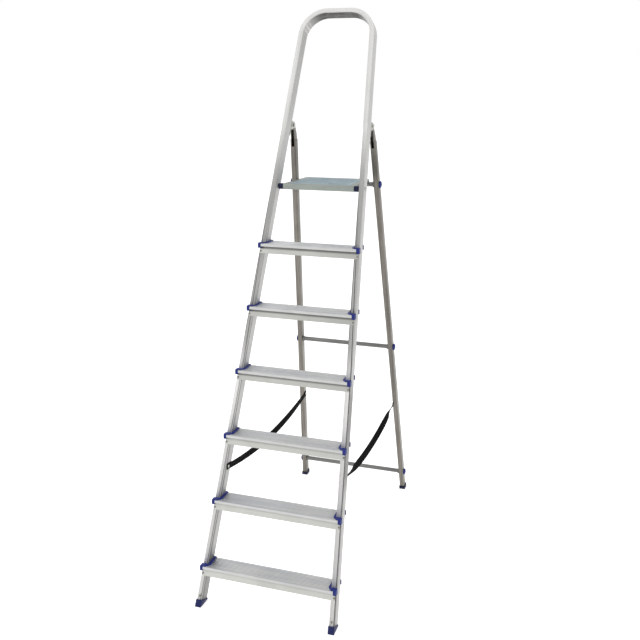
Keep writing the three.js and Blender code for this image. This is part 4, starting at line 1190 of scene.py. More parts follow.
@dataclass
class FrontHoop:
    """One tapered hoop of rounded flat tube, grooved along both sides of each stile."""

    top: float = 2042 * MM
    bend_radius: float = 93 * MM
    corner: float = 2 * MM
    corner_steps: int = 5
    bend_steps: int = 28
    groove_from: float = 5 * MM
    groove_to: float = 13 * MM
    groove_depth: float = 1.8 * MM
    groove_top: float = 1439 * MM
    floor_gap: float = 6 * MM
    start_below: float = -60 * MM
    ripple_at: float = 0.35
    ripple_spread: float = 0.28
    ripple_depth: float = 0.7 * MM
    ripple_pitch: float = 34.0

    @property
    def rail(self) -> float:
        """Distance up the slope of the rail's middle."""
        return self.top / math.cos(STANCE.angle) - STANCE.stile_width / 2

    @property
    def rise(self) -> Vector:
        """Direction of the left stile in the hoop's plane."""
        return Vector((STANCE.plane_taper, 0, 1)).normalized()

    @property
    def inward(self) -> Vector:
        """Square to the left stile in the hoop's plane, toward the other."""
        return Vector((self.rise.z, 0, -self.rise.x))

    @property
    def bend_centre(self) -> Vector:
        """The point that the left bend turns about."""
        return self.bend_start() + self.inward * self.bend_radius

    @property
    def bend(self) -> float:
        """How far each bend turns."""
        return math.pi / 2 - math.atan(STANCE.plane_taper)

    def half_gap(self, up: float) -> float:
        """Half distance between the stiles' middles at a distance up the slope."""
        return STANCE.front_half_width - STANCE.stile_width / 2 - STANCE.plane_taper * up

    def bend_start(self) -> Vector:
        """Where the left stile's middle starts to bend."""
        corner = Vector((-self.half_gap(self.rail), 0, self.rail))
        return corner - self.rise * (self.bend_radius * math.tan(self.bend / 2))

    def section(self, foot: Vector) -> list[Vector]:
        """The tube's outline square to the left stile, with corners where the grooves start."""
        half = STANCE.stile_width / 2
        flat = soft_box(box_of(-half, 0, half, STANCE.stile_depth), self.corner, self.corner_steps)
        turn = 2 * self.corner_steps + 1
        flat = [*flat[:turn + 1], (half, self.groove_from), (half, self.groove_to),
                *flat[turn + 1:], (-half, self.groove_to), (-half, self.groove_from)]
        return [foot + self.inward * across + Vector((0, behind, 0)) for across, behind in flat]

    def sweep(self) -> Piece:
        """Draws the section at the left foot and carries it over both bends to the right foot."""
        groove_end = self.groove_top / math.cos(STANCE.angle)
        foot = Vector((-self.half_gap(self.start_below), 0, self.start_below))
        shoulder = self.bend_start()
        lower = self.rise * ((groove_end - foot.z) / self.rise.z)
        upper = shoulder - foot - lower
        centre = self.bend_centre
        across = Vector((-2 * centre.x, 0, 0))
        piece = traced("hoop_tube", self.section(foot), fill=False)
        with editing(piece):
            bpy.ops.mesh.select_mode(type="EDGE")
            bpy.ops.mesh.select_all(action="SELECT")
            push(lower)
            push(upper)
            self.turn_round(centre)
            push(across)
            self.turn_round(centre + across)
            push(Vector((upper.x, 0, -upper.z)))
            push(Vector((lower.x, 0, -lower.z)))
            bpy.ops.mesh.select_all(action="SELECT")
            bpy.ops.mesh.remove_doubles(threshold=MM / 100)
            bpy.ops.mesh.fill_holes(sides=0)
            faces_out()
        return piece

    def turn_round(self, centre: Vector) -> None:
        """Spins the selected ring through one bend."""
        bpy.ops.mesh.spin(steps=self.bend_steps, angle=-self.bend, center=centre, axis=(0, 1, 0))

    def press_grooves(self, piece: Piece) -> None:
        """Presses the shallow groove into both sides of both stiles."""
        limit = self.groove_top / math.cos(STANCE.angle)
        with editing(piece):
            choose_faces(piece, lambda middle, normal: abs(normal.x) > 0.9 and middle.z < limit
                         and self.groove_from < middle.y < self.groove_to)
            bpy.ops.mesh.inset(thickness=0.15 * MM, depth=-self.groove_depth, use_boundary=True)

    def lay_run(self, piece: Piece) -> None:
        """Stores where each point lies across, behind and along the tube, from the rail's middle."""
        shoulder, inward, centre = self.bend_start(), self.inward, self.bend_centre
        turned_length = self.bend * self.bend_radius
        run = piece.data.attributes.new("run", "FLOAT_VECTOR", "POINT")
        values: list[float] = []
        for vertex in piece.data.vertices:
            side = -1 if vertex.co.x < 0 else 1
            place = Vector((-abs(vertex.co.x), 0, vertex.co.z))
            behind = vertex.co.y
            out = place - centre
            below = (place - shoulder).dot(self.rise)
            if below <= 0:
                along, level = below, out.dot(-inward)
            elif place.x >= centre.x:
                along, level = turned_length + place.x - centre.x, out.z
            else:
                turn = math.acos(max(-1.0, min(1.0, out.normalized().dot(-inward))))
                along, level = turn * self.bend_radius, out.length
            reach = turned_length - centre.x
            values.extend((level, behind, side * (reach - along)))
        run.data.foreach_set("vector", values)

    def wrinkle_bends(self, piece: Piece) -> None:
        """Leaves the shallow ripples of cold bending on the inside of each bend."""
        inward, centre = self.inward, self.bend_centre
        inner = self.bend_radius - STANCE.stile_width / 2
        for vertex in piece.data.vertices:
            out = Vector((-abs(vertex.co.x), 0, vertex.co.z)) - centre
            turn = out.normalized().dot(-inward)
            if out.length < inner + MM and out.z > 0 and turn > 0:
                angle = math.acos(min(1.0, turn))
                fade = math.exp(-(((angle - self.ripple_at) / self.ripple_spread) ** 2))
                depth = self.ripple_depth * fade * (0.5 + 0.5 * math.sin(angle * self.ripple_pitch))
                push_in = out.normalized() * depth
                vertex.co.x -= push_in.x if vertex.co.x > 0 else -push_in.x
                vertex.co.z += push_in.z

    def build(self) -> Piece:
        """Builds the hoop.

        Returns:
            The finished piece.
        """
        piece = self.sweep()
        self.press_grooves(piece)
        self.wrinkle_bends(piece)
        softened(piece, 0.4 * MM, segments=2, sharper_than=40)
        self.lay_run(piece)
        piece.data.transform(STANCE.on_slope())
        with editing(piece):
            bpy.ops.mesh.select_all(action="SELECT")
            bpy.ops.mesh.bisect(plane_co=(0, 0, self.floor_gap), plane_no=(0, 0, 1),
                                clear_inner=True, use_fill=True)
        return installed(piece, Body.FRONT, POLISHED, "polished_aluminium", "front_hoop")


# ---- treads -------------------------------------------------------------------------------------


def dome(name: str, place: Vector, facing: Vector, shank: float = 0.0) -> Piece:
    """Turns a domed rivet head that faces one way from its seat, and softens it.

    Args:
        name: The new piece's name.
        place: The middle of its seat.
        facing: The way that its dome points.
        shank: Length of the plain shank behind the seat.

    Returns:
        The rivet.
    """
    over = crown(RIVET_RADIUS, 0, RIVET_HEIGHT, 6)
    stem = RIVET_RADIUS / 2
    profile = [(0, -shank), (stem, -shank), (stem, 0)] if shank else [(0, 0)]
    rivet = turned(name, [*profile, *over, (0, RIVET_HEIGHT)], place, facing, steps=20)
    return softened(rivet, 0.1 * MM, 1)


def stile_room(side: Side, low: float, high: float, gap: float = 0.3 * MM) -> Piece:
    """Makes the leaning block that a stile fills between two heights.

    Args:
        side: The stile's side.
        low: The block's lower height.
        high: Its upper height.
        gap: Clearance round the stile.

    Returns:
        The block, ready to be cut out of a piece.
    """
    grown = gap / math.cos(STANCE.angle)
    front, back = STANCE.stile_front(low) - grown, STANCE.stile_front(low) + STANCE.level_depth + grown
    corners = []
    for y in (front, back):
        middle = side.value * STANCE.stile_middle(Vector((0, y, low)))
        half = STANCE.stile_width / 2 + gap
        pair = [Vector((middle - half, y, low)), Vector((middle + half, y, low))]
        corners.extend(pair if y == front else reversed(pair))
    rise = high - low
    drift = -side.value * STANCE.plane_taper * rise / math.cos(STANCE.angle)
    return prism("stile_room", corners, Vector((drift, STANCE.front_lean * rise, rise)))


@dataclass
class Treads:
    """Six ribbed treads with a hollow nose, an apron over the stiles and two webs below."""

    count: int = 6
    nose_reach: float = 20 * MM
    rear: float = 54 * MM
    nose_height: float = 11 * MM
    nose_radius: float = 1.8 * MM
    smooth_nose: float = 7 * MM
    plate: float = 2.8 * MM
    apron_drop: float = 36 * MM
    apron: float = 2.4 * MM
    rear_lip: float = 14 * MM
    web: float = 2.2 * MM
    web_at: float = 24 * MM
    rib_pitch: float = 7.2 * MM
    rib_width: float = 4.2 * MM
    rib_height: float = 0.9 * MM
    seat_gap: float = 0.3 * MM
    side_gap: float = 0.8 * MM
    cap_width: float = 9.5 * MM
    cap_front: float = 16.7 * MM
    cap_floor: float = 3.3 * MM
    cap_sweep: float = 5 * MM
    nose_grip: float = 7 * MM
    rivet_inset: float = 5.5 * MM
    rivet_drop: float = 29 * MM

    def top(self, level: int) -> float:
        """Height of a tread's upper face."""
        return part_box(f"tread_{level}")[1].z

    def apron_back(self, below: float) -> float:
        """Where the apron's back lies at a depth under the tread's top, from the stile's front."""
        return -STANCE.front_lean * below - self.seat_gap / math.cos(STANCE.angle)

    def profile(self) -> Flat:
        """The side profile, from the stile's front face and the tread's top."""
        nose, under, rib = -self.nose_reach, -self.plate, self.rib_height
        ribs: list[Corner] = []
        start = nose + self.smooth_nose
        while start + self.rib_pitch < self.rear:
            ribs += [(start, -rib, 0), (start, 0, 0), (start + self.rib_width, 0, 0),
                     (start + self.rib_width, -rib, 0)]
            start += self.rib_pitch
        back, drop = self.apron_back, self.apron_drop
        inner = self.rear - self.web
        return rounded([
            (nose, -self.nose_height, self.nose_radius), (nose, -rib / 2, self.nose_radius),
            (nose + self.smooth_nose / 2, 0, 0), (nose + self.smooth_nose - rib, -rib, 0), *ribs,
            (self.rear, -rib, 0), (self.rear, -self.rear_lip, self.web / 3),
            (inner, -self.rear_lip, self.web / 3), (inner, under, self.web / 2),
            (self.web_at + self.web, under, self.web / 2),
            (self.web_at + self.web, -self.rear_lip, 0), (self.web_at, -self.rear_lip, 0),
            (self.web_at, under, self.web / 2), (back(-under), under, 0),
            (back(drop), -drop, self.apron / 3), (back(drop) - self.apron, -drop, self.apron / 3),
            (back(self.nose_height) - self.apron, -self.nose_height, self.web / 2),
        ], steps=3)

    def end_cut(self) -> Flat:
        """What the plastic end takes out of the profile behind the apron."""
        low = -self.rear_lip - 5 * MM
        near, back, over = self.apron_back(self.cap_floor) + MM, self.rear + 3 * MM, 10 * MM
        return [(near, -self.cap_floor), (near, over), (back, over), (back, low),
                (self.apron_back(-low) + MM, low)]

    def nose_cut(self, level: int, side: Side) -> Piece:
        """Makes the room that the plastic end takes over the nose, drawn in toward the front."""
        top = self.top(level)
        y = STANCE.stile_front(top)
        inner = STANCE.stile_outer(top) - STANCE.stile_width
        inner_back = inner - self.cap_width - self.seat_gap
        front = y - self.cap_front - self.seat_gap
        plan = [(inner_back, y + MM), (inner_back, y), (inner + self.cap_sweep - self.seat_gap, front),
                (inner + 0.1, front), (inner + 0.1, y + MM)]
        corners = in_plan([(side.value * x, y) for x, y in plan], top - self.cap_floor)
        return prism("nose_cut", corners, (0, 0, 13 * MM))

    def grip_back(self, below: float) -> float:
        """Where a plastic end stops before the apron at a depth under the tread's top."""
        return self.apron_back(below) - self.apron - 2 * self.seat_gap

    def end_of_nose(self, level: int, side: Side) -> Piece:
        """Makes the room for the plastic that stands in for the nose's last few millimetres."""
        top = self.top(level)
        y = STANCE.stile_front(top)
        low, high = -self.nose_height - MM, 2 * MM
        front = -self.nose_reach - MM
        face = [(front, low), (self.grip_back(-low) + self.seat_gap, low),
                (self.grip_back(-high) + self.seat_gap, high), (front, high)]
        at = side.value * (STANCE.stile_outer(top) - self.nose_grip)
        return prism("end_of_nose", in_side_view([(y + u, top + v) for u, v in face], at),
                     (side.value * 2 * self.nose_grip, 0, 0))

    def rivets(self, level: int) -> list[Piece]:
        """The two rivets that hold the apron to the stiles."""
        z = self.top(level) - self.rivet_drop
        made = []
        for side in Side:
            seat = Vector((side.value * (STANCE.stile_outer(z) - self.rivet_inset),
                           STANCE.stile_front(z), z))
            seat -= STANCE.behind * (self.apron + self.seat_gap)
            rivet = dome(f"tread_{level}_rivet_{side.word}", seat, -STANCE.behind, shank=4 * MM)
            rivet.data.materials.append(DARK_ZINC.material())
            made.append(rivet)
        return made

    def build_one(self, level: int) -> Piece:
        """Builds one tread.

        Args:
            level: Its number from the floor up.

        Returns:
            The finished tread.
        """
        top = self.top(level)
        origin = (STANCE.stile_front(top), top)
        half = STANCE.stile_outer(top) - self.side_gap
        cut_from = STANCE.stile_outer(top) - STANCE.stile_width - self.cap_width - self.seat_gap

        def drawn(points: Points, x: float) -> list[Vector]:
            """Sets profile points at one x of this tread."""
            return in_side_view([(u + origin[0], v + origin[1]) for u, v in points], x)

        piece = prism(f"tread_{level}_plate", drawn(self.profile(), -half), (2 * half, 0, 0))
        for side in Side:
            reach = side.value * (half - cut_from + 10 * MM)
            cut_away(piece, self.nose_cut(level, side), self.end_of_nose(level, side),
                     prism("end_cut", drawn(self.end_cut(), side.value * cut_from), (reach, 0, 0)))
        softened(piece, 0.35 * MM, 2)
        piece.data.materials.append(TREAD_METAL.material())
        gathered(piece, *self.rivets(level))
        return installed(piece, Body.FRONT, None, "ribbed_aluminium", f"tread_{level}")

    def build(self) -> None:
        """Builds all the treads."""
        for level in range(1, self.count + 1):
            self.build_one(level)


@dataclass
class TreadEnds:
    """Blue plastic ends that wrap each stile: a front strip, a drop over the nose and a rear stop."""

    treads: Treads
    proud: float = 4 * MM
    rear_proud: float = 1.5 * MM
    lift: float = 2.2 * MM
    slab: float = 3 * MM
    drop: float = 17 * MM
    rear: float = 55.5 * MM
    middle_drop: float = 12 * MM
    corner: float = 3.2 * MM
    gap: float = 0.3 * MM

    def build_one(self, level: int, side: Side) -> Piece:
        """Builds the end of one tread on one side.

        Args:
            level: The tread's number.
            side: Which stile it wraps.

        Returns:
            The finished end.
        """
        top = self.treads.top(level)
        y0 = STANCE.stile_front(top)
        outer = STANCE.stile_outer(top)
        inner = outer - STANCE.stile_width
        near, far = inner - self.treads.cap_width, outer + self.proud
        far_behind = outer + self.rear_proud
        bay = STANCE.level_depth + self.gap
        soft = self.corner
        sweep = inner + self.treads.cap_sweep
        front = y0 - self.treads.cap_front
        plan = rounded([(near, y0, 2 * soft), (sweep, front, soft), (far, front, soft),
                        (far, y0, soft / 2), (inner, y0, 0), (inner, y0 + bay, 0),
                        (far_behind, y0 + bay, soft / 4), (far_behind, y0 + self.rear, soft),
                        (near, y0 + self.rear, soft)])
        piece = upright(f"tread_{level}_end_{side.word}", plan, top - self.slab,
                        self.slab + self.lift)
        nose = -self.treads.nose_reach + self.gap
        face = rounded([(y0 + nose, top - self.drop, soft), (y0, top - self.drop, MM),
                        (y0, top + self.lift, 0), (y0 + nose, top + self.lift, soft)])
        lap = prism("nose_drop", in_side_view(face, outer - 0.5 * MM),
                    (self.proud + 0.5 * MM, 0, 0))
        back = self.treads.grip_back
        front, low, high = y0 + nose + 0.1 * MM, top - self.drop + MM / 2, top + self.lift - MM / 2
        grip = prism("nose_grip", in_side_view(rounded([
            (front, low, soft), (y0 + back(self.drop), low, MM), (y0 + back(-self.lift), high, 0),
            (front, high, soft)]), outer - self.treads.nose_grip + self.gap),
            (self.treads.nose_grip + MM, 0, 0))
        strip = upright("inner_strip", box_of(near, y0 + self.gap, inner, y0 + bay),
                        top - self.middle_drop, self.middle_drop - MM)
        stop = upright("rear_stop", rounded([
            (near, y0 + bay - MM, 0), (far_behind, y0 + bay - MM, 0), (far_behind, y0 + self.rear, soft),
            (near, y0 + self.rear, MM)]), top - self.treads.rear_lip, self.treads.rear_lip - MM)
        welded(piece, lap, grip, strip, stop)
        mirrored_to(piece, side)
        cut_away(piece, stile_room(side, top - 2 * self.drop, top + self.drop))
        softened(piece, 0.7 * MM, 3)
        return installed(piece, Body.FRONT, BLUE, "blue_plastic", f"tread_cap_{level}_{side.word}")

    def build(self) -> None:
        """Builds the ends of every tread."""
        for level in range(1, self.treads.count + 1):
            for side in Side:
                self.build_one(level, side)


# ---- feet ---------------------------------------------------------------------------------------


@dataclass
class Feet:
    """Blue boots under the stiles and slimmer navy ones under the rear legs."""

    front_wall: float = 2 * MM
    front_height: float = 25 * MM
    toe: float = 0.7 * MM
    rear_wall: float = 2.6 * MM
    rear_height: float = 13 * MM
    groove: float = 1.6 * MM
    groove_shares: tuple[float, ...] = (0.15, 0.38, 0.62, 0.85)
    groove_reach: float = 0.4
    floor_gap: float = 6 * MM
    rivet_above: float = 11.5 * MM
    tongue_half: float = 4.25 * MM
    tongue_from: float = 2.1 * MM
    tongue_to: float = 11.1 * MM
    tongue_past: float = 7 * MM
    play: float = 0.3 * MM

    def side_view(self, y: float, lean: float, depth: float, wall: float, height: float,
                  toe: float) -> Flat:
        """A boot's side profile.

        Args:
            y: The tube's front face at the floor.
            lean: How the tube leans.
            depth: The tube's level depth.
            wall: The boot's wall.
            height: The boot's height.
            toe: How far its toe runs forward.

        Returns:
            The profile's points.
        """
        flare = [(y - wall + lean * height / 3, height / 3, 4 * MM)] if toe else []
        behind = height - lean * (depth + 2 * wall) / (1 + lean * lean)
        return rounded([(y - wall - toe, 0, 2 * MM), (y + depth + wall, 0, 2 * MM),
                        (y + depth + wall + lean * behind, behind, MM),
                        (y - wall + lean * height, height, MM), *flare])

    def sole_grooves(self, y: float, depth: float) -> list[Piece]:
        """Cutters for the grooves across a sole."""
        made = []
        for share in self.groove_shares:
            middle = y + depth * share
            box = [(middle - self.groove, -MM), (middle + self.groove, -MM),
                   (middle + self.groove / 2, self.groove), (middle - self.groove / 2, self.groove)]
            made.append(crosswise("sole_groove", box, 0, self.groove_reach))
        return made

    def tongue(self, side: Side) -> Piece:
        """Makes the part of a front boot that rises inside the tube for its rivet."""
        middle = side.value * (STANCE.front_half_width - STANCE.stile_width / 2)
        low = self.floor_gap / 2
        high = (self.front_height + self.rivet_above + self.tongue_past) / math.cos(STANCE.angle)
        near, far, soft = middle - self.tongue_half, middle + self.tongue_half, 2 * MM
        plan = soft_box(box_of(near, self.tongue_from, far, self.tongue_to), soft)
        rise = high - low
        piece = prism("tongue", in_plan(plan, low),
                      (-side.value * STANCE.plane_taper * rise, 0, rise))
        piece.data.transform(STANCE.on_slope())
        below = box_of(STANCE.front_at_floor - 40 * MM, -20 * MM, STANCE.front_at_floor + 60 * MM, low)
        cut_away(piece, crosswise("below_tongue", below, middle, self.tongue_half + 10 * MM))
        return piece

    def front_boot(self, side: Side) -> Piece:
        """Builds the boot under one stile."""
        middle = side.value * STANCE.stile_middle(Vector((0, STANCE.front_at_floor, 0)))
        half = STANCE.stile_width / 2 + self.front_wall
        view = self.side_view(STANCE.front_at_floor, STANCE.front_lean, STANCE.level_depth,
                              self.front_wall, self.front_height, self.toe)
        piece = leaned_with_stile(crosswise(f"front_foot_{side.word}", view, middle, half), side)
        cut_away(piece, stile_room(side, self.floor_gap - self.play, self.front_height * 2),
                 *self.sole_grooves(STANCE.front_at_floor, STANCE.level_depth))
        welded(piece, self.tongue(side))
        softened(piece, 0.9 * MM, 3)
        return installed(piece, Body.FRONT, BOOT_BLUE, "blue_plastic", f"front_boot_{side.word}")

    def boot_rivet(self, side: Side) -> Piece:
        """Builds the rivet that holds one front boot."""
        z = self.front_height + self.rivet_above
        seat = Vector((side.value * (STANCE.stile_outer(z) - STANCE.stile_width / 2),
                       STANCE.stile_front(z), z))
        seat -= STANCE.behind * self.play
        rivet = dome(f"front_foot_rivet_{side.word}", seat, -STANCE.behind, shank=6 * MM)
        return installed(rivet, Body.FRONT, DARK_ZINC, "zinc_steel", f"boot_rivet_{side.word}")

    def rear_boot(self, side: Side) -> Piece:
        """Builds the boot under one rear leg."""
        middle = side.value * (STANCE.rear_half_width - STANCE.leg_width / 2)
        half = STANCE.leg_width / 2 + self.rear_wall
        y = STANCE.leg_front(0)
        view = self.side_view(y, -STANCE.rear_lean, STANCE.leg_depth, self.rear_wall,
                              self.rear_height, 0)
        piece = leaned_with_leg(crosswise(f"rear_foot_{side.word}", view, middle, half), side)
        cut_away(piece, leg_block(side, -self.play, RearLegs.floor_gap - self.play, self.rear_height * 2),
                 *self.sole_grooves(y, STANCE.leg_depth))
        softened(piece, 0.7 * MM, 3)
        return installed(piece, Body.REAR, NAVY, "navy_plastic", f"rear_boot_{side.word}")

    def build(self) -> None:
        """Builds all four boots and their rivets."""
        for side in Side:
            self.front_boot(side)
            self.boot_rivet(side)
            self.rear_boot(side)


# ---- rear frame ---------------------------------------------------------------------------------


def leg_block(side: Side, inset: float, low: float, high: float, radius: float = 0.0,
              steps: int = 4) -> Piece:
    """Makes a leaning block in a rear leg's own section.

    Args:
        side: The leg's side.
        inset: How far its faces lie inside the leg's.
        low: Its lower height.
        high: Its upper height.
        radius: Radius of its upright corners.
        steps: Facets in each of them.

    Returns:
        The block.
    """
    outer = STANCE.leg_outer(low) - inset
    inner = STANCE.leg_outer(low) - STANCE.leg_width + inset
    low_x, high_x = sorted((side.value * inner, side.value * outer))
    front = STANCE.leg_front(low) + inset
    back = STANCE.leg_front(low) + STANCE.leg_depth - inset
    plan = soft_box(box_of(low_x, front, high_x, back), radius, steps)
    rise = high - low
    by = Vector((-side.value * STANCE.rear_taper * rise, -STANCE.rear_lean * rise, rise))
    return prism("leg_block", in_plan(plan, low), by)


@dataclass
class RearLegs:
    """Two flat tubes whose tops are pressed into hoods that swing on the hinge pins."""

    wall: float = 1.7 * MM
    corner: float = 2.5 * MM
    floor_gap: float = 5 * MM
    notch_depth: float = 68 * MM
    notch_below: float = 10 * MM
    hood_below: float = 62 * MM
    hood_width: float = 14.3 * MM
    hood_wall: float = 1.9 * MM
    hood_radius: float = 103 * MM
    hood_drop: float = 78 * MM
    tube_into_hood: float = 8 * MM
    ear_radius: float = 18.5 * MM
    plate: float = 2 * MM
    play: float = 0.3 * MM

    def hood_centre(self) -> Vector:
        """Middle of the hood's rounded back, as a (y, z) point."""
        z = STANCE.hinge.z - self.hood_drop
        slant = math.cos(math.atan(STANCE.rear_lean))
        return Vector((STANCE.leg_front(z) + STANCE.leg_depth - self.hood_radius / slant, z))

    def over_the_top(self, inset: float) -> Flat:
        """The hood's rounded back and top down to the ear, as (y, z) points."""
        centre = self.hood_centre()
        rise = Vector((STANCE.hinge.y, STANCE.hinge.z)) - centre
        radius, ear = self.hood_radius - inset, self.ear_radius - inset
        meet = math.acos((radius ** 2 + rise.length ** 2 - ear ** 2) / (2 * radius * rise.length))
        return arc(tuple(centre), radius, math.atan(STANCE.rear_lean),
                   math.atan2(rise.y, rise.x) + meet, 20)

    def hood_view(self) -> Flat:
        """The hood's side profile."""
        low = STANCE.hinge.z - self.hood_below
        rise = Vector((STANCE.hinge.y, STANCE.hinge.z)) - self.hood_centre()
        spread = math.acos((rise.length ** 2 + self.ear_radius ** 2 - self.hood_radius ** 2)
                           / (2 * rise.length * self.ear_radius))
        start = math.atan2(rise.y, rise.x) + math.pi - spread
        ear = arc((STANCE.hinge.y, STANCE.hinge.z), self.ear_radius, start, math.pi * 1.5, 16)
        notch_top = STANCE.hinge.z - self.notch_below
        return [(STANCE.leg_front(low), low), (STANCE.leg_front(low) + STANCE.leg_depth, low),
                *self.over_the_top(0), *ear, (STANCE.leg_front(notch_top), notch_top - self.wall)]

    def hollow_view(self) -> Flat:
        """What the hood's hollow takes out, open to the front."""
        over = self.over_the_top(self.hood_wall)
        low = STANCE.hinge.z - self.hood_below - 20 * MM
        front = STANCE.hinge.y - 2 * self.ear_radius
        return [(front, low), (STANCE.leg_front(low) + STANCE.leg_depth - self.hood_wall, low),
                *over, (front, over[-1][1])]

    def build_one(self, side: Side) -> Piece:
        """Builds one leg.

        Args:
            side: The leg's side.

        Returns:
            The finished leg.
        """
        middle = side.value * (STANCE.rear_half_width - STANCE.leg_width / 2)
        hood_from = STANCE.hinge.z - self.hood_below
        half = self.hood_width / 2
        piece = leg_block(side, 0, self.floor_gap, hood_from + self.tube_into_hood, self.corner)
        piece.name = f"rear_tube_{side.word}"
        welded(piece, leaned_with_leg(crosswise("hood", self.hood_view(), middle, half), side))
        inside = half - self.hood_wall
        hollow = leaned_with_leg(crosswise("hollow", self.hollow_view(), middle, inside), side)
        bore = leg_block(side, self.wall, -0.01, hood_from)
        notch_top = STANCE.hinge.z - self.notch_below
        notch = leg_block(side, STANCE.leg_width / 2 - inside, notch_top - self.notch_depth,
                          notch_top + 10 * MM)
        notch.data.transform(Matrix.Translation((0, -10 * MM, 0)))
        pin = drill(Vector((side.value * STANCE.leg_outer(STANCE.hinge.z), STANCE.hinge.y,
                            STANCE.hinge.z)), 50 * MM)
        stop = stile_room(side, hood_from, STANCE.hinge.z + self.hood_radius,
                          self.plate + 2 * self.play)
        cut_away(piece, bore, hollow, notch, pin, stop)
        softened(piece, 0.5 * MM, 2)
        return installed(piece, Body.REAR, LEG_METAL, "leg_aluminium", f"rear_leg_{side.word}")

    def build(self) -> None:
        """Builds both legs."""
        for side in Side:
            self.build_one(side)


@dataclass
class Crossbars:
    """Three round tubes with pressed collars between the rear legs, closed by domed blue caps."""

    radius: float = 8.75 * MM
    wall: float = 1.5 * MM
    collar: float = 11.5 * MM
    collar_length: float = 4 * MM
    neck: float = 3 * MM
    cap_radius: float = 13.5 * MM
    cap_dome: float = 7.5 * MM
    cap_rim: float = 2.5 * MM
    side_gap: float = 0.8 * MM

    def height(self, place: str) -> float:
        """Height of a bar's middle."""
        return middle_of(f"crossbar_{place}")[2]

    def bar(self, place: str) -> Piece:
        """Builds one bar.

        Args:
            place: low, middle or high.

        Returns:
            The finished bar.
        """
        z = self.height(place)
        end = STANCE.leg_outer(z) + self.side_gap / 2
        face = STANCE.leg_outer(z) - STANCE.leg_width - self.side_gap
        flare = face - self.collar_length
        half = [(self.radius, flare - 2 * self.neck), (self.radius + 0.3 * MM, flare - self.neck),
                (self.collar * 0.9, flare - MM / 2), (self.collar, flare + MM),
                (self.collar, face), (self.radius, face), (self.radius, end)]
        outside = [*[(r, -a) for r, a in reversed(half)], *half]
        bore = self.radius - self.wall
        profile = [(bore, -end), *outside, (bore, end), (bore, -end)]
        piece = turned(f"crossbar_{place}_tube", profile, Vector((0, STANCE.leg_middle(z), z)),
                       Vector((1, 0, 0)), 40)
        softened(piece, 0.25 * MM, 2)
        return installed(piece, Body.REAR, BAR_METAL, "leg_aluminium", f"crossbar_{place}")

    def cap(self, place: str, side: Side) -> Piece:
        """Builds one domed cap.

        Args:
            place: The bar that it closes.
            side: The end that it closes.

        Returns:
            The finished cap.
        """
        z = self.height(place)
        face = STANCE.leg_outer(z) + self.side_gap + 0.3 * MM
        plug = self.radius - self.wall - 0.3 * MM
        profile = [(0, -10 * MM), (plug, -10 * MM), (plug, 0), (self.cap_radius, 0),
                   *crown(self.cap_radius, self.cap_rim, self.cap_dome, 8), (0, self.cap_dome)]
        piece = turned(f"bar_cap_{place}_{side.word}", profile,
                       Vector((side.value * face, STANCE.leg_middle(z), z)),
                       Vector((side.value, 0, 0)), 36)
        softened(piece, 0.5 * MM, 2)
        return installed(piece, Body.REAR, BLUE, "blue_plastic", f"crossbar_cap_{place}_{side.word}")

    def build(self) -> None:
        """Builds the bars and their caps."""
        for place in ("low", "middle", "high"):
            self.bar(place)
            for side in Side:
                self.cap(place, side)


# ---- hinge --------------------------------------------------------------------------------------


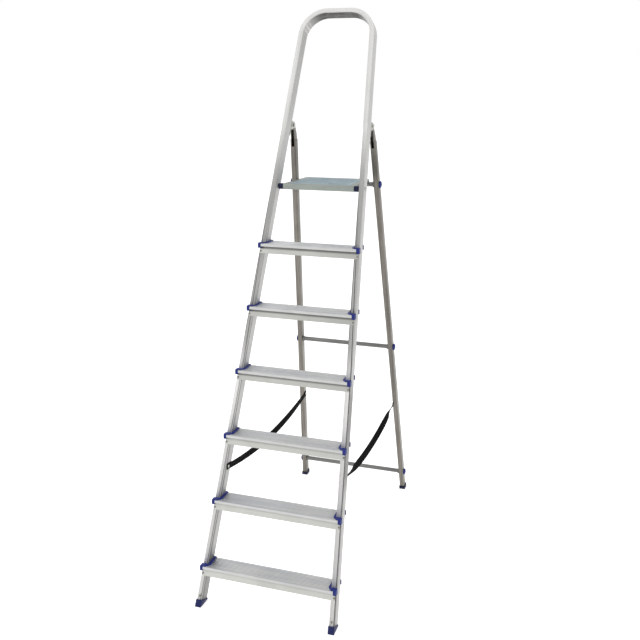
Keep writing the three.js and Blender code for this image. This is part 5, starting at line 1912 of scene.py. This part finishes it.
@dataclass
class Hinges:
    """Zinc-plated brackets riveted to the stiles' backs, with the pins that the legs hang on."""

    plate: float = 2 * MM
    hood_width: float = RearLegs.hood_width
    side_play: float = 1.1 * MM
    above: float = 8 * MM
    below: float = 48 * MM
    nose_radius: float = 12 * MM
    rivet_drops: tuple[float, float] = (27 * MM, 41 * MM)
    pin_radius: float = 4 * MM
    head_radius: float = 7.5 * MM
    head_height: float = 2.6 * MM
    play: float = 0.3 * MM

    @property
    def half(self) -> float:
        """Half width of a bracket over its cheeks."""
        return self.hood_width / 2 + self.side_play + self.plate

    @property
    def foot(self) -> Vector:
        """The hinge axis dropped square onto the plane of the stiles' rear faces."""
        return STANCE.hinge - STANCE.behind * STANCE.hinge_behind

    def at(self, behind: float, up: float) -> tuple[float, float]:
        """A (y, z) point from the foot, behind the stile and up its slope."""
        place = self.foot + STANCE.behind * behind + STANCE.along * up
        return place.y, place.z

    def bracket(self, side: Side) -> Piece:
        """Builds one bracket with its rivets."""
        web = self.plate + self.play
        nose = []
        for step in range(17):
            turn = -math.pi / 2 + math.pi * step / 16
            nose.append(self.at(STANCE.hinge_behind + self.nose_radius * math.cos(turn),
                                self.nose_radius * math.sin(turn)))
        view = [self.at(self.play, -self.below), self.at(web, -self.below),
                self.at(web, -2 * self.nose_radius), *nose, self.at(web, self.above),
                self.at(self.play, self.above)]
        centre = side.value * (STANCE.front_half_width - STANCE.stile_width / 2)
        half = self.half
        inside = half - self.plate
        piece = leaned_with_stile(crosswise(f"hinge_plate_{side.word}", view, centre, half), side)
        gap = [self.at(*corner) for corner in box_of(web, -2 * self.below, 2 * STANCE.stile_depth,
                                                     4 * self.nose_radius)]
        between = leaned_with_stile(crosswise("between", gap, centre, inside), side)
        room = stile_room(side, STANCE.hinge.z - 3 * self.below,
                          STANCE.hinge.z + 4 * self.nose_radius)
        cut_away(piece, between, room)
        softened(piece, 0.4 * MM, 2)
        piece.data.materials.append(ZINC.material())
        rivets = []
        for drop in self.rivet_drops:
            seat = self.foot - STANCE.along * drop
            seat.x = side.value * STANCE.stile_middle(seat)
            rivet = dome("rivet", seat + STANCE.behind * web, STANCE.behind)
            rivet.data.materials.append(ZINC.material())
            rivets.append(rivet)
        gathered(piece, *rivets)
        return installed(piece, Body.FRONT, None, "zinc_steel", f"hinge_bracket_{side.word}")

    def pin(self, side: Side) -> Piece:
        """Builds one hinge pin."""
        place = STANCE.hinge.copy()
        place.x = side.value * STANCE.stile_middle(place)
        half = self.half + 3 * self.play
        head = [(self.head_radius, half), (self.head_radius, half + self.head_height / 3),
                (self.head_radius * 0.86, half + self.head_height * 0.75),
                (self.head_radius * 0.6, half + self.head_height), (0, half + self.head_height)]
        profile = [*[(r, -a) for r, a in reversed(head)], (self.pin_radius, -half),
                   (self.pin_radius, half), *head]
        piece = turned(f"hinge_rivet_{side.word}", profile, place, Vector((1, 0, 0)), 28)
        softened(piece, 0.3 * MM, 2)
        return installed(piece, Body.FRONT, ZINC, "zinc_steel", f"hinge_pin_{side.word}")

    def build(self) -> None:
        """Builds both brackets and pins."""
        for side in Side:
            self.bracket(side)
            self.pin(side)


# ---- platform -----------------------------------------------------------------------------------


@dataclass
class Platform:
    """The folding platform: a folded frame with a recessed ribbed sheet, bushes, bolts and hooks."""

    skirt: float = 20 * MM
    skirt_wall: float = 2 * MM
    deck: float = 3.2 * MM
    corner: float = 3 * MM
    recess: float = 1.6 * MM
    inset: float = 17 * MM
    sheet: float = 1.9 * MM
    rib_pitch: float = 9 * MM
    rib_width: float = 4 * MM
    rib_height: float = 0.8 * MM
    bar_clearance: float = 10.25 * MM
    bush_width: float = 16 * MM
    bush_depth: float = 20 * MM
    bolt_radius: float = 4 * MM
    head_radius: float = 7 * MM
    head_height: float = 3.6 * MM
    washer_radius: float = 9 * MM
    washer: float = 1.6 * MM
    play: float = 0.3 * MM
    past: float = 5 * MM
    hook_play: float = 0.6 * MM

    def plan(self, inset: float, radius: float = 0.0) -> Flat:
        """The platform's level outline, inset from its edges."""
        low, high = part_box("platform_deck")
        front_half, rear_half = high.x, high.x - 10 * MM
        slope = (front_half - rear_half) / (high.y - low.y)
        front, rear = front_half - inset * (1 + slope), rear_half - inset * (1 - slope)
        return soft_box([(-front, low.y + inset), (front, low.y + inset),
                         (rear, high.y - inset), (-rear, high.y - inset)], radius, 5)

    @property
    def top(self) -> float:
        """Height of the platform's upper face."""
        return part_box("platform_deck")[1].z

    def frame_plate(self) -> Piece:
        """Builds the folded frame: a border, a sunk middle and a skirt all round."""
        low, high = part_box("platform_deck")
        below = low.z - self.past
        piece = upright("platform_frame", self.plan(0, self.corner), low.z, self.skirt)
        inside = upright("inside", self.plan(self.skirt_wall, MM), below,
                         self.skirt + self.past - self.deck)
        sunk = upright("sunk", self.plan(self.inset, 2 * MM), self.top - self.recess, self.past)
        bar_y, bar_z = middle_of("crossbar_high")[1:]
        room = box_of(bar_y - self.bar_clearance - 20 * MM, below, high.y - self.skirt_wall,
                      bar_z + self.bar_clearance)
        bar_room = crosswise("bar_room", room, 0, 0.3)
        trim = box_of(high.y - 2 * self.skirt_wall, below, high.y + 2 * self.past,
                      low.z + self.skirt * 0.4)
        rear_trim = crosswise("rear_trim", trim, 0, 0.3)
        cut_away(piece, inside, bar_room, rear_trim, sunk)
        softened(piece, 0.8 * MM, 3)
        return installed(piece, Body.PLATFORM, DECK_METAL, "ribbed_aluminium", "platform_deck")

    def ribbed_sheet(self) -> Piece:
        """Builds the sheet in the frame's recess and raises its ribs."""
        bottom = self.top - self.recess + self.play
        outline = self.plan(self.inset + 2 * self.play, 2 * MM)
        piece = prism("platform_sheet", in_plan(outline, bottom), (0, 0, self.sheet))
        ys = [y for _, y in outline]
        first, last = min(ys) + self.rib_pitch, max(ys) - self.rib_pitch
        margin = 7 * MM
        half = min(x for x, y in outline if x > 0) - margin
        with editing(piece):
            for x in (-half, half):
                bpy.ops.mesh.select_all(action="SELECT")
                bpy.ops.mesh.bisect(plane_co=(x, 0, 0), plane_no=(1, 0, 0))
            y = first
            while y + self.rib_width < last:
                for edge in (y, y + self.rib_width):
                    bpy.ops.mesh.select_all(action="SELECT")
                    bpy.ops.mesh.bisect(plane_co=(0, edge, 0), plane_no=(0, 1, 0))
                y += self.rib_pitch
            top = bottom + self.sheet

            def on_rib(middle: Vector, normal: Vector) -> bool:
                """Whether a face is the top of a rib."""
                step = (middle.y - first) % self.rib_pitch
                return (normal.z > 0.9 and abs(middle.z - top) < MM / 10 and abs(middle.x) < half
                        and first < middle.y < last and step < self.rib_width)

            choose_faces(piece, on_rib)
            bpy.ops.mesh.inset(thickness=0.5 * MM, depth=self.rib_height)
        softened(piece, 0.25 * MM, 2)
        return installed(piece, Body.PLATFORM, PANEL_SHEET, "coated_panel", "platform_panel")

    def bush(self, side: Side) -> Piece:
        """Builds the plastic block between the skirt and one stile."""
        low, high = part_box("platform_deck")
        near = high.x + self.play
        view = soft_box(box_of(STANCE.pivot.y - self.bush_depth / 2, low.z,
                               STANCE.pivot.y + self.bush_depth / 2, high.z), 3 * MM)
        piece = prism(f"pivot_block_{side.word}", in_side_view(view, side.value * near),
                      (side.value * self.bush_width, 0, 0))
        cut_away(piece, drill(STANCE.pivot, 0.4))
        softened(piece, 0.7 * MM, 3)
        return installed(piece, Body.PLATFORM, NAVY, "navy_plastic", f"platform_bush_{side.word}")

    def bolt(self, side: Side) -> Piece:
        """Builds one pivot bolt, with a hexagon socket in its head."""
        low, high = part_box(f"platform_bolt_{side.word}")
        outer = max(abs(low.x), abs(high.x)) - self.head_height
        reach = outer - min(abs(low.x), abs(high.x))
        head = [(self.head_radius, 0), (self.head_radius, self.head_height * 0.35),
                (self.head_radius * 0.88, self.head_height * 0.75),
                (self.head_radius * 0.62, self.head_height), (2.6 * MM, self.head_height),
                (2.2 * MM, self.head_height * 0.45), (0, self.head_height * 0.45)]
        profile = [(0, -reach), (self.bolt_radius, -reach), (self.bolt_radius, 0), *head]
        piece = turned(f"pivot_bolt_{side.word}", profile,
                       Vector((side.value * outer, STANCE.pivot.y, STANCE.pivot.z)),
                       Vector((side.value, 0, 0)), 30)
        softened(piece, 0.25 * MM, 2)
        return installed(piece, Body.FRONT, ZINC, "zinc_steel", f"platform_bolt_{side.word}")

    def washer_ring(self, side: Side) -> Piece:
        """Builds the blackened washer beside one block."""
        low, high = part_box(f"platform_washer_{side.word}")
        inner = min(abs(low.x), abs(high.x))
        bore = self.bolt_radius + self.play
        profile = [(bore, 0), (self.washer_radius, 0), (self.washer_radius, self.washer),
                   (bore, self.washer), (bore, 0)]
        piece = turned(f"pivot_washer_{side.word}", profile,
                       Vector((side.value * inner, STANCE.pivot.y, STANCE.pivot.z)),
                       Vector((side.value, 0, 0)), 36)
        softened(piece, 0.25 * MM, 2)
        return installed(piece, Body.FRONT, BLACKENED, "black_steel",
                         f"platform_washer_{side.word}")

    def hook(self, side: Side) -> Piece:
        """Builds one hook that drops over the upper crossbar."""
        low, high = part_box(f"platform_clip_{side.word}")
        bar = middle_of("crossbar_high")[1:]
        inner = Crossbars.radius + self.hook_play
        lip = bar[1] + Crossbars.radius / 2
        start = math.pi - math.asin((lip - bar[1]) / inner)
        view = rounded([(high.y, low.z, 2 * MM), (high.y, high.z, MM), (low.y, high.z, MM),
                        (low.y, lip + 2 * MM, MM / 2), (bar[0] - inner, lip, 0)])
        view += arc(bar, inner, start, 0, 16)
        view.append((bar[0] + inner + 0.7 * MM, low.z))
        piece = prism(f"bar_hook_{side.word}", in_side_view(view, low.x), (high.x - low.x, 0, 0))
        softened(piece, 0.4 * MM, 2)
        return installed(piece, Body.PLATFORM, NAVY, "navy_plastic", f"platform_clip_{side.word}")

    def build(self) -> None:
        """Builds the whole platform."""
        self.frame_plate()
        self.ribbed_sheet()
        for side in Side:
            self.bush(side)
            self.bolt(side)
            self.washer_ring(side)
            self.hook(side)


# ---- straps -------------------------------------------------------------------------------------


def smoothstep(share: float) -> float:
    """Eases a share from nought to one."""
    held = max(0.0, min(1.0, share))
    return held * held * (3 - 2 * held)


@dataclass
class Straps:
    """Two slack webbing straps that stop the legs, each with a bolt at either end."""

    width: float = 22 * MM
    thickness: float = 1.8 * MM
    sag: float = 38 * MM
    end: float = 9 * MM
    columns: int = 90
    rows: int = 6
    bolt_radius: float = 2.5 * MM
    head_radius: float = 6 * MM
    head_height: float = 2.4 * MM
    under_head: float = 0.6 * MM
    left_turn: float = 0.6
    curl: float = 0.5
    front_curl: float = 0.24
    rear_curl: float = 0.12
    right_turn: float = 1.05
    right_from: float = 0.12
    right_over: float = 0.3

    def ends(self, side: Side) -> tuple[Vector, Vector]:
        """Middles of the two bolts, on the faces that the strap lies against."""
        found = []
        for where in ("front", "rear"):
            low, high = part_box(f"strap_bolt_{where}_{side.word}")
            middle = (low + high) / 2
            inner = min(abs(low.x), abs(high.x)) + self.head_height + self.under_head
            found.append(Vector((side.value * (inner + self.thickness / 2), middle.y, middle.z)))
        return found[0], found[1]

    def turned_over(self, side: Side, share: float) -> float:
        """How far a strap has turned about its own run at a share of its length."""
        if side is Side.LEFT:
            return -self.left_turn * math.sin(math.pi * share) ** 1.5
        curl = self.curl * math.sin(math.pi * min(share / self.front_curl, 1.0))
        curl += self.curl * math.sin(math.pi * min((1 - share) / self.rear_curl, 1.0))
        over = min(smoothstep((share - self.right_from) / self.right_over),
                   smoothstep((1 - share) / self.right_over))
        return curl - self.right_turn * over

    def webbing(self, side: Side) -> Piece:
        """Lays one strap: flat at its bolts, sagging and turned over on itself between them."""
        start, finish = self.ends(side)
        run = finish - start
        clear_selection()
        bpy.ops.mesh.primitive_grid_add(x_subdivisions=self.rows, y_subdivisions=self.columns,
                                        size=1, calc_uvs=True)
        piece = bpy.context.active_object
        piece.name = piece.data.name = f"strap_webbing_{side.word}"
        piece.data.uv_layers[0].name = "weave"
        beyond = self.end / run.length
        for vertex in piece.data.vertices:
            share = (vertex.co.y + 0.5) * (1 + 2 * beyond) - beyond
            inside = max(0.0, min(1.0, share))
            sag = self.sag * 4 * inside * (1 - inside)
            middle = start + run * share - Vector((0, 0, sag))
            slope = run / run.length - Vector((0, 0, self.sag * 4 * (1 - 2 * inside) / run.length))
            slope.normalize()
            out = slope.cross(Vector((0, 0, 1))).normalized()
            up = out.cross(slope).normalized()
            twist = self.turned_over(side, inside)
            lay = up * math.cos(twist) + out * math.sin(twist)
            vertex.co = middle + lay * (vertex.co.x * self.width)
        settle(piece, "SOLIDIFY", "cloth", thickness=self.thickness, offset=0)
        pick(piece)
        bpy.ops.object.shade_smooth_by_angle(angle=math.radians(40))
        piece.data.materials.append(WEBBING.material())
        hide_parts(f"strap_{side.word}")
        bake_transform(piece)
        log.info("%s: %d faces, bends between the frames", piece.name, len(piece.data.polygons))
        return piece

    def bolt(self, where: str, side: Side) -> Piece:
        """Builds the bolt at one end of a strap."""
        low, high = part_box(f"strap_bolt_{where}_{side.word}")
        middle = (low + high) / 2
        inner, outer = sorted((abs(low.x), abs(high.x)))
        seat = Vector((side.value * (inner + self.head_height), middle.y, middle.z))
        profile = [(0, self.head_height), (self.head_radius * 0.55, self.head_height * 0.92),
                   (self.head_radius * 0.88, self.head_height * 0.55), (self.head_radius, 0),
                   (self.bolt_radius, 0), (self.bolt_radius, inner + self.head_height - outer),
                   (0, inner + self.head_height - outer)]
        piece = turned(f"strap_rivet_{where}_{side.word}", profile, seat,
                       Vector((-side.value, 0, 0)), 24)
        softened(piece, 0.2 * MM, 2)
        body = Body.FRONT if where == "front" else Body.REAR
        return installed(piece, body, ZINC, "zinc_steel", f"strap_bolt_{where}_{side.word}")

    def build(self) -> None:
        """Builds both straps and their bolts."""
        for side in Side:
            self.webbing(side)
            for where in ("front", "rear"):
                self.bolt(where, side)


# ---- studio -------------------------------------------------------------------------------------


@dataclass
class Softbox:
    """One soft lamp of the studio."""

    name: str
    place: Colour
    aim: Colour
    size: tuple[float, float]
    power: float

    def build(self) -> Piece:
        """Hangs the lamp and turns it to what it lights."""
        light = bpy.data.lights.new(self.name, "AREA")
        light.shape = "RECTANGLE"
        light.size, light.size_y = self.size
        light.energy = self.power
        lamp = bpy.data.objects.new(self.name, light)
        lamp.location = self.place
        lamp.rotation_euler = (Vector(self.aim) - Vector(self.place)).to_track_quat("-Z", "Y").to_euler()
        bpy.context.scene.collection.objects.link(lamp)
        return lamp


@dataclass
class Studio:
    """A white cove with soft lamps and the camera."""

    camera_place: Colour = (0.9782, -2.8683, 1.7797)
    yaw: float = 0.3222
    pitch: float = 0.2764
    roll: float = -0.0016
    lens: float = 47.28
    sensor: float = 36.0
    ambient: float = 0.78
    floor_size: float = 60.0
    floor_glow: float = 0.62
    lamps: list[Softbox] = field(default_factory=lambda: [
        Softbox("key_softbox", (-3.0, -3.8, 3.6), (0, 0, 0.9), (5.0, 4.0), 50),
        Softbox("right_softbox", (4.2, -1.0, 2.4), (0, 0, 1.0), (3.0, 3.0), 16),
        Softbox("top_softbox", (0, 0.2, 5.4), (0, 0, 0), (6.0, 6.0), 50),
    ])

    def camera(self) -> Piece:
        """Stands the camera where the ladder is seen from."""
        data = bpy.data.cameras.new("camera")
        data.lens, data.sensor_width = self.lens, self.sensor
        data.clip_end = 200.0
        made = bpy.data.objects.new("camera", data)
        look = Vector((-math.sin(self.yaw) * math.cos(self.pitch),
                       math.cos(self.yaw) * math.cos(self.pitch), -math.sin(self.pitch)))
        aim = look.to_track_quat("-Z", "Y").to_matrix() @ Matrix.Rotation(self.roll, 3, "Z")
        made.matrix_world = Matrix.Translation(self.camera_place) @ aim.to_4x4()
        bpy.context.scene.collection.objects.link(made)
        bpy.context.scene.camera = made
        return made

    def world(self) -> None:
        """White to the camera and in reflections, softer as light."""
        world = bpy.data.worlds.new("cove")
        bpy.context.scene.world = world
        world.use_nodes = True
        tree = Tree(world.node_tree)
        shown = world.node_tree.nodes["Background"]
        rays = tree.add("LightPath")
        seen = tree.maths("MAXIMUM", rays.outputs["Is Camera Ray"], tree.maths(
            "MAXIMUM", rays.outputs["Is Glossy Ray"], rays.outputs["Is Transmission Ray"]))
        tree.feed(shown, {"Color": (1, 1, 1, 1),
                          "Strength": tree.spread(seen, 0, 1, self.ambient, 1.0)})

    def floor(self) -> None:
        """Lays the pale floor, which keeps a faint shadow."""
        clear_selection()
        bpy.ops.mesh.primitive_grid_add(x_subdivisions=4, y_subdivisions=4, size=self.floor_size)
        floor = bpy.context.active_object
        floor.name = "studio_floor"
        material = bpy.data.materials.new("studio_floor")
        material.use_nodes = True
        tree = Tree(material.node_tree)
        lit = material.node_tree.nodes["Principled BSDF"]
        rays = tree.add("LightPath")
        seen = tree.maths("MAXIMUM", rays.outputs["Is Camera Ray"], rays.outputs["Is Glossy Ray"])
        tree.feed(lit, {"Base Color": (0.8, 0.8, 0.8, 1), "Roughness": 0.9, "Specular IOR Level": 0.0,
                        "Emission Color": (1, 1, 1, 1),
                        "Emission Strength": tree.spread(seen, 0, 1, 0.0, self.floor_glow)})
        floor.data.materials.append(material)

    def build(self) -> None:
        """Sets up everything round the ladder."""
        self.camera()
        self.world()
        self.floor()
        for lamp in self.lamps:
            lamp.build()
        bpy.context.scene.view_settings.view_transform = "Standard"


def main() -> None:
    """Builds every sub-assembly in order and reports each piece."""
    Finish.prepare()
    Studio().build()
    FrontHoop().build()
    treads = Treads()
    treads.build()
    TreadEnds(treads).build()
    Feet().build()
    RearLegs().build()
    Crossbars().build()
    Hinges().build()
    Platform().build()
    Straps().build()


if __name__ == "__main__":
    main()
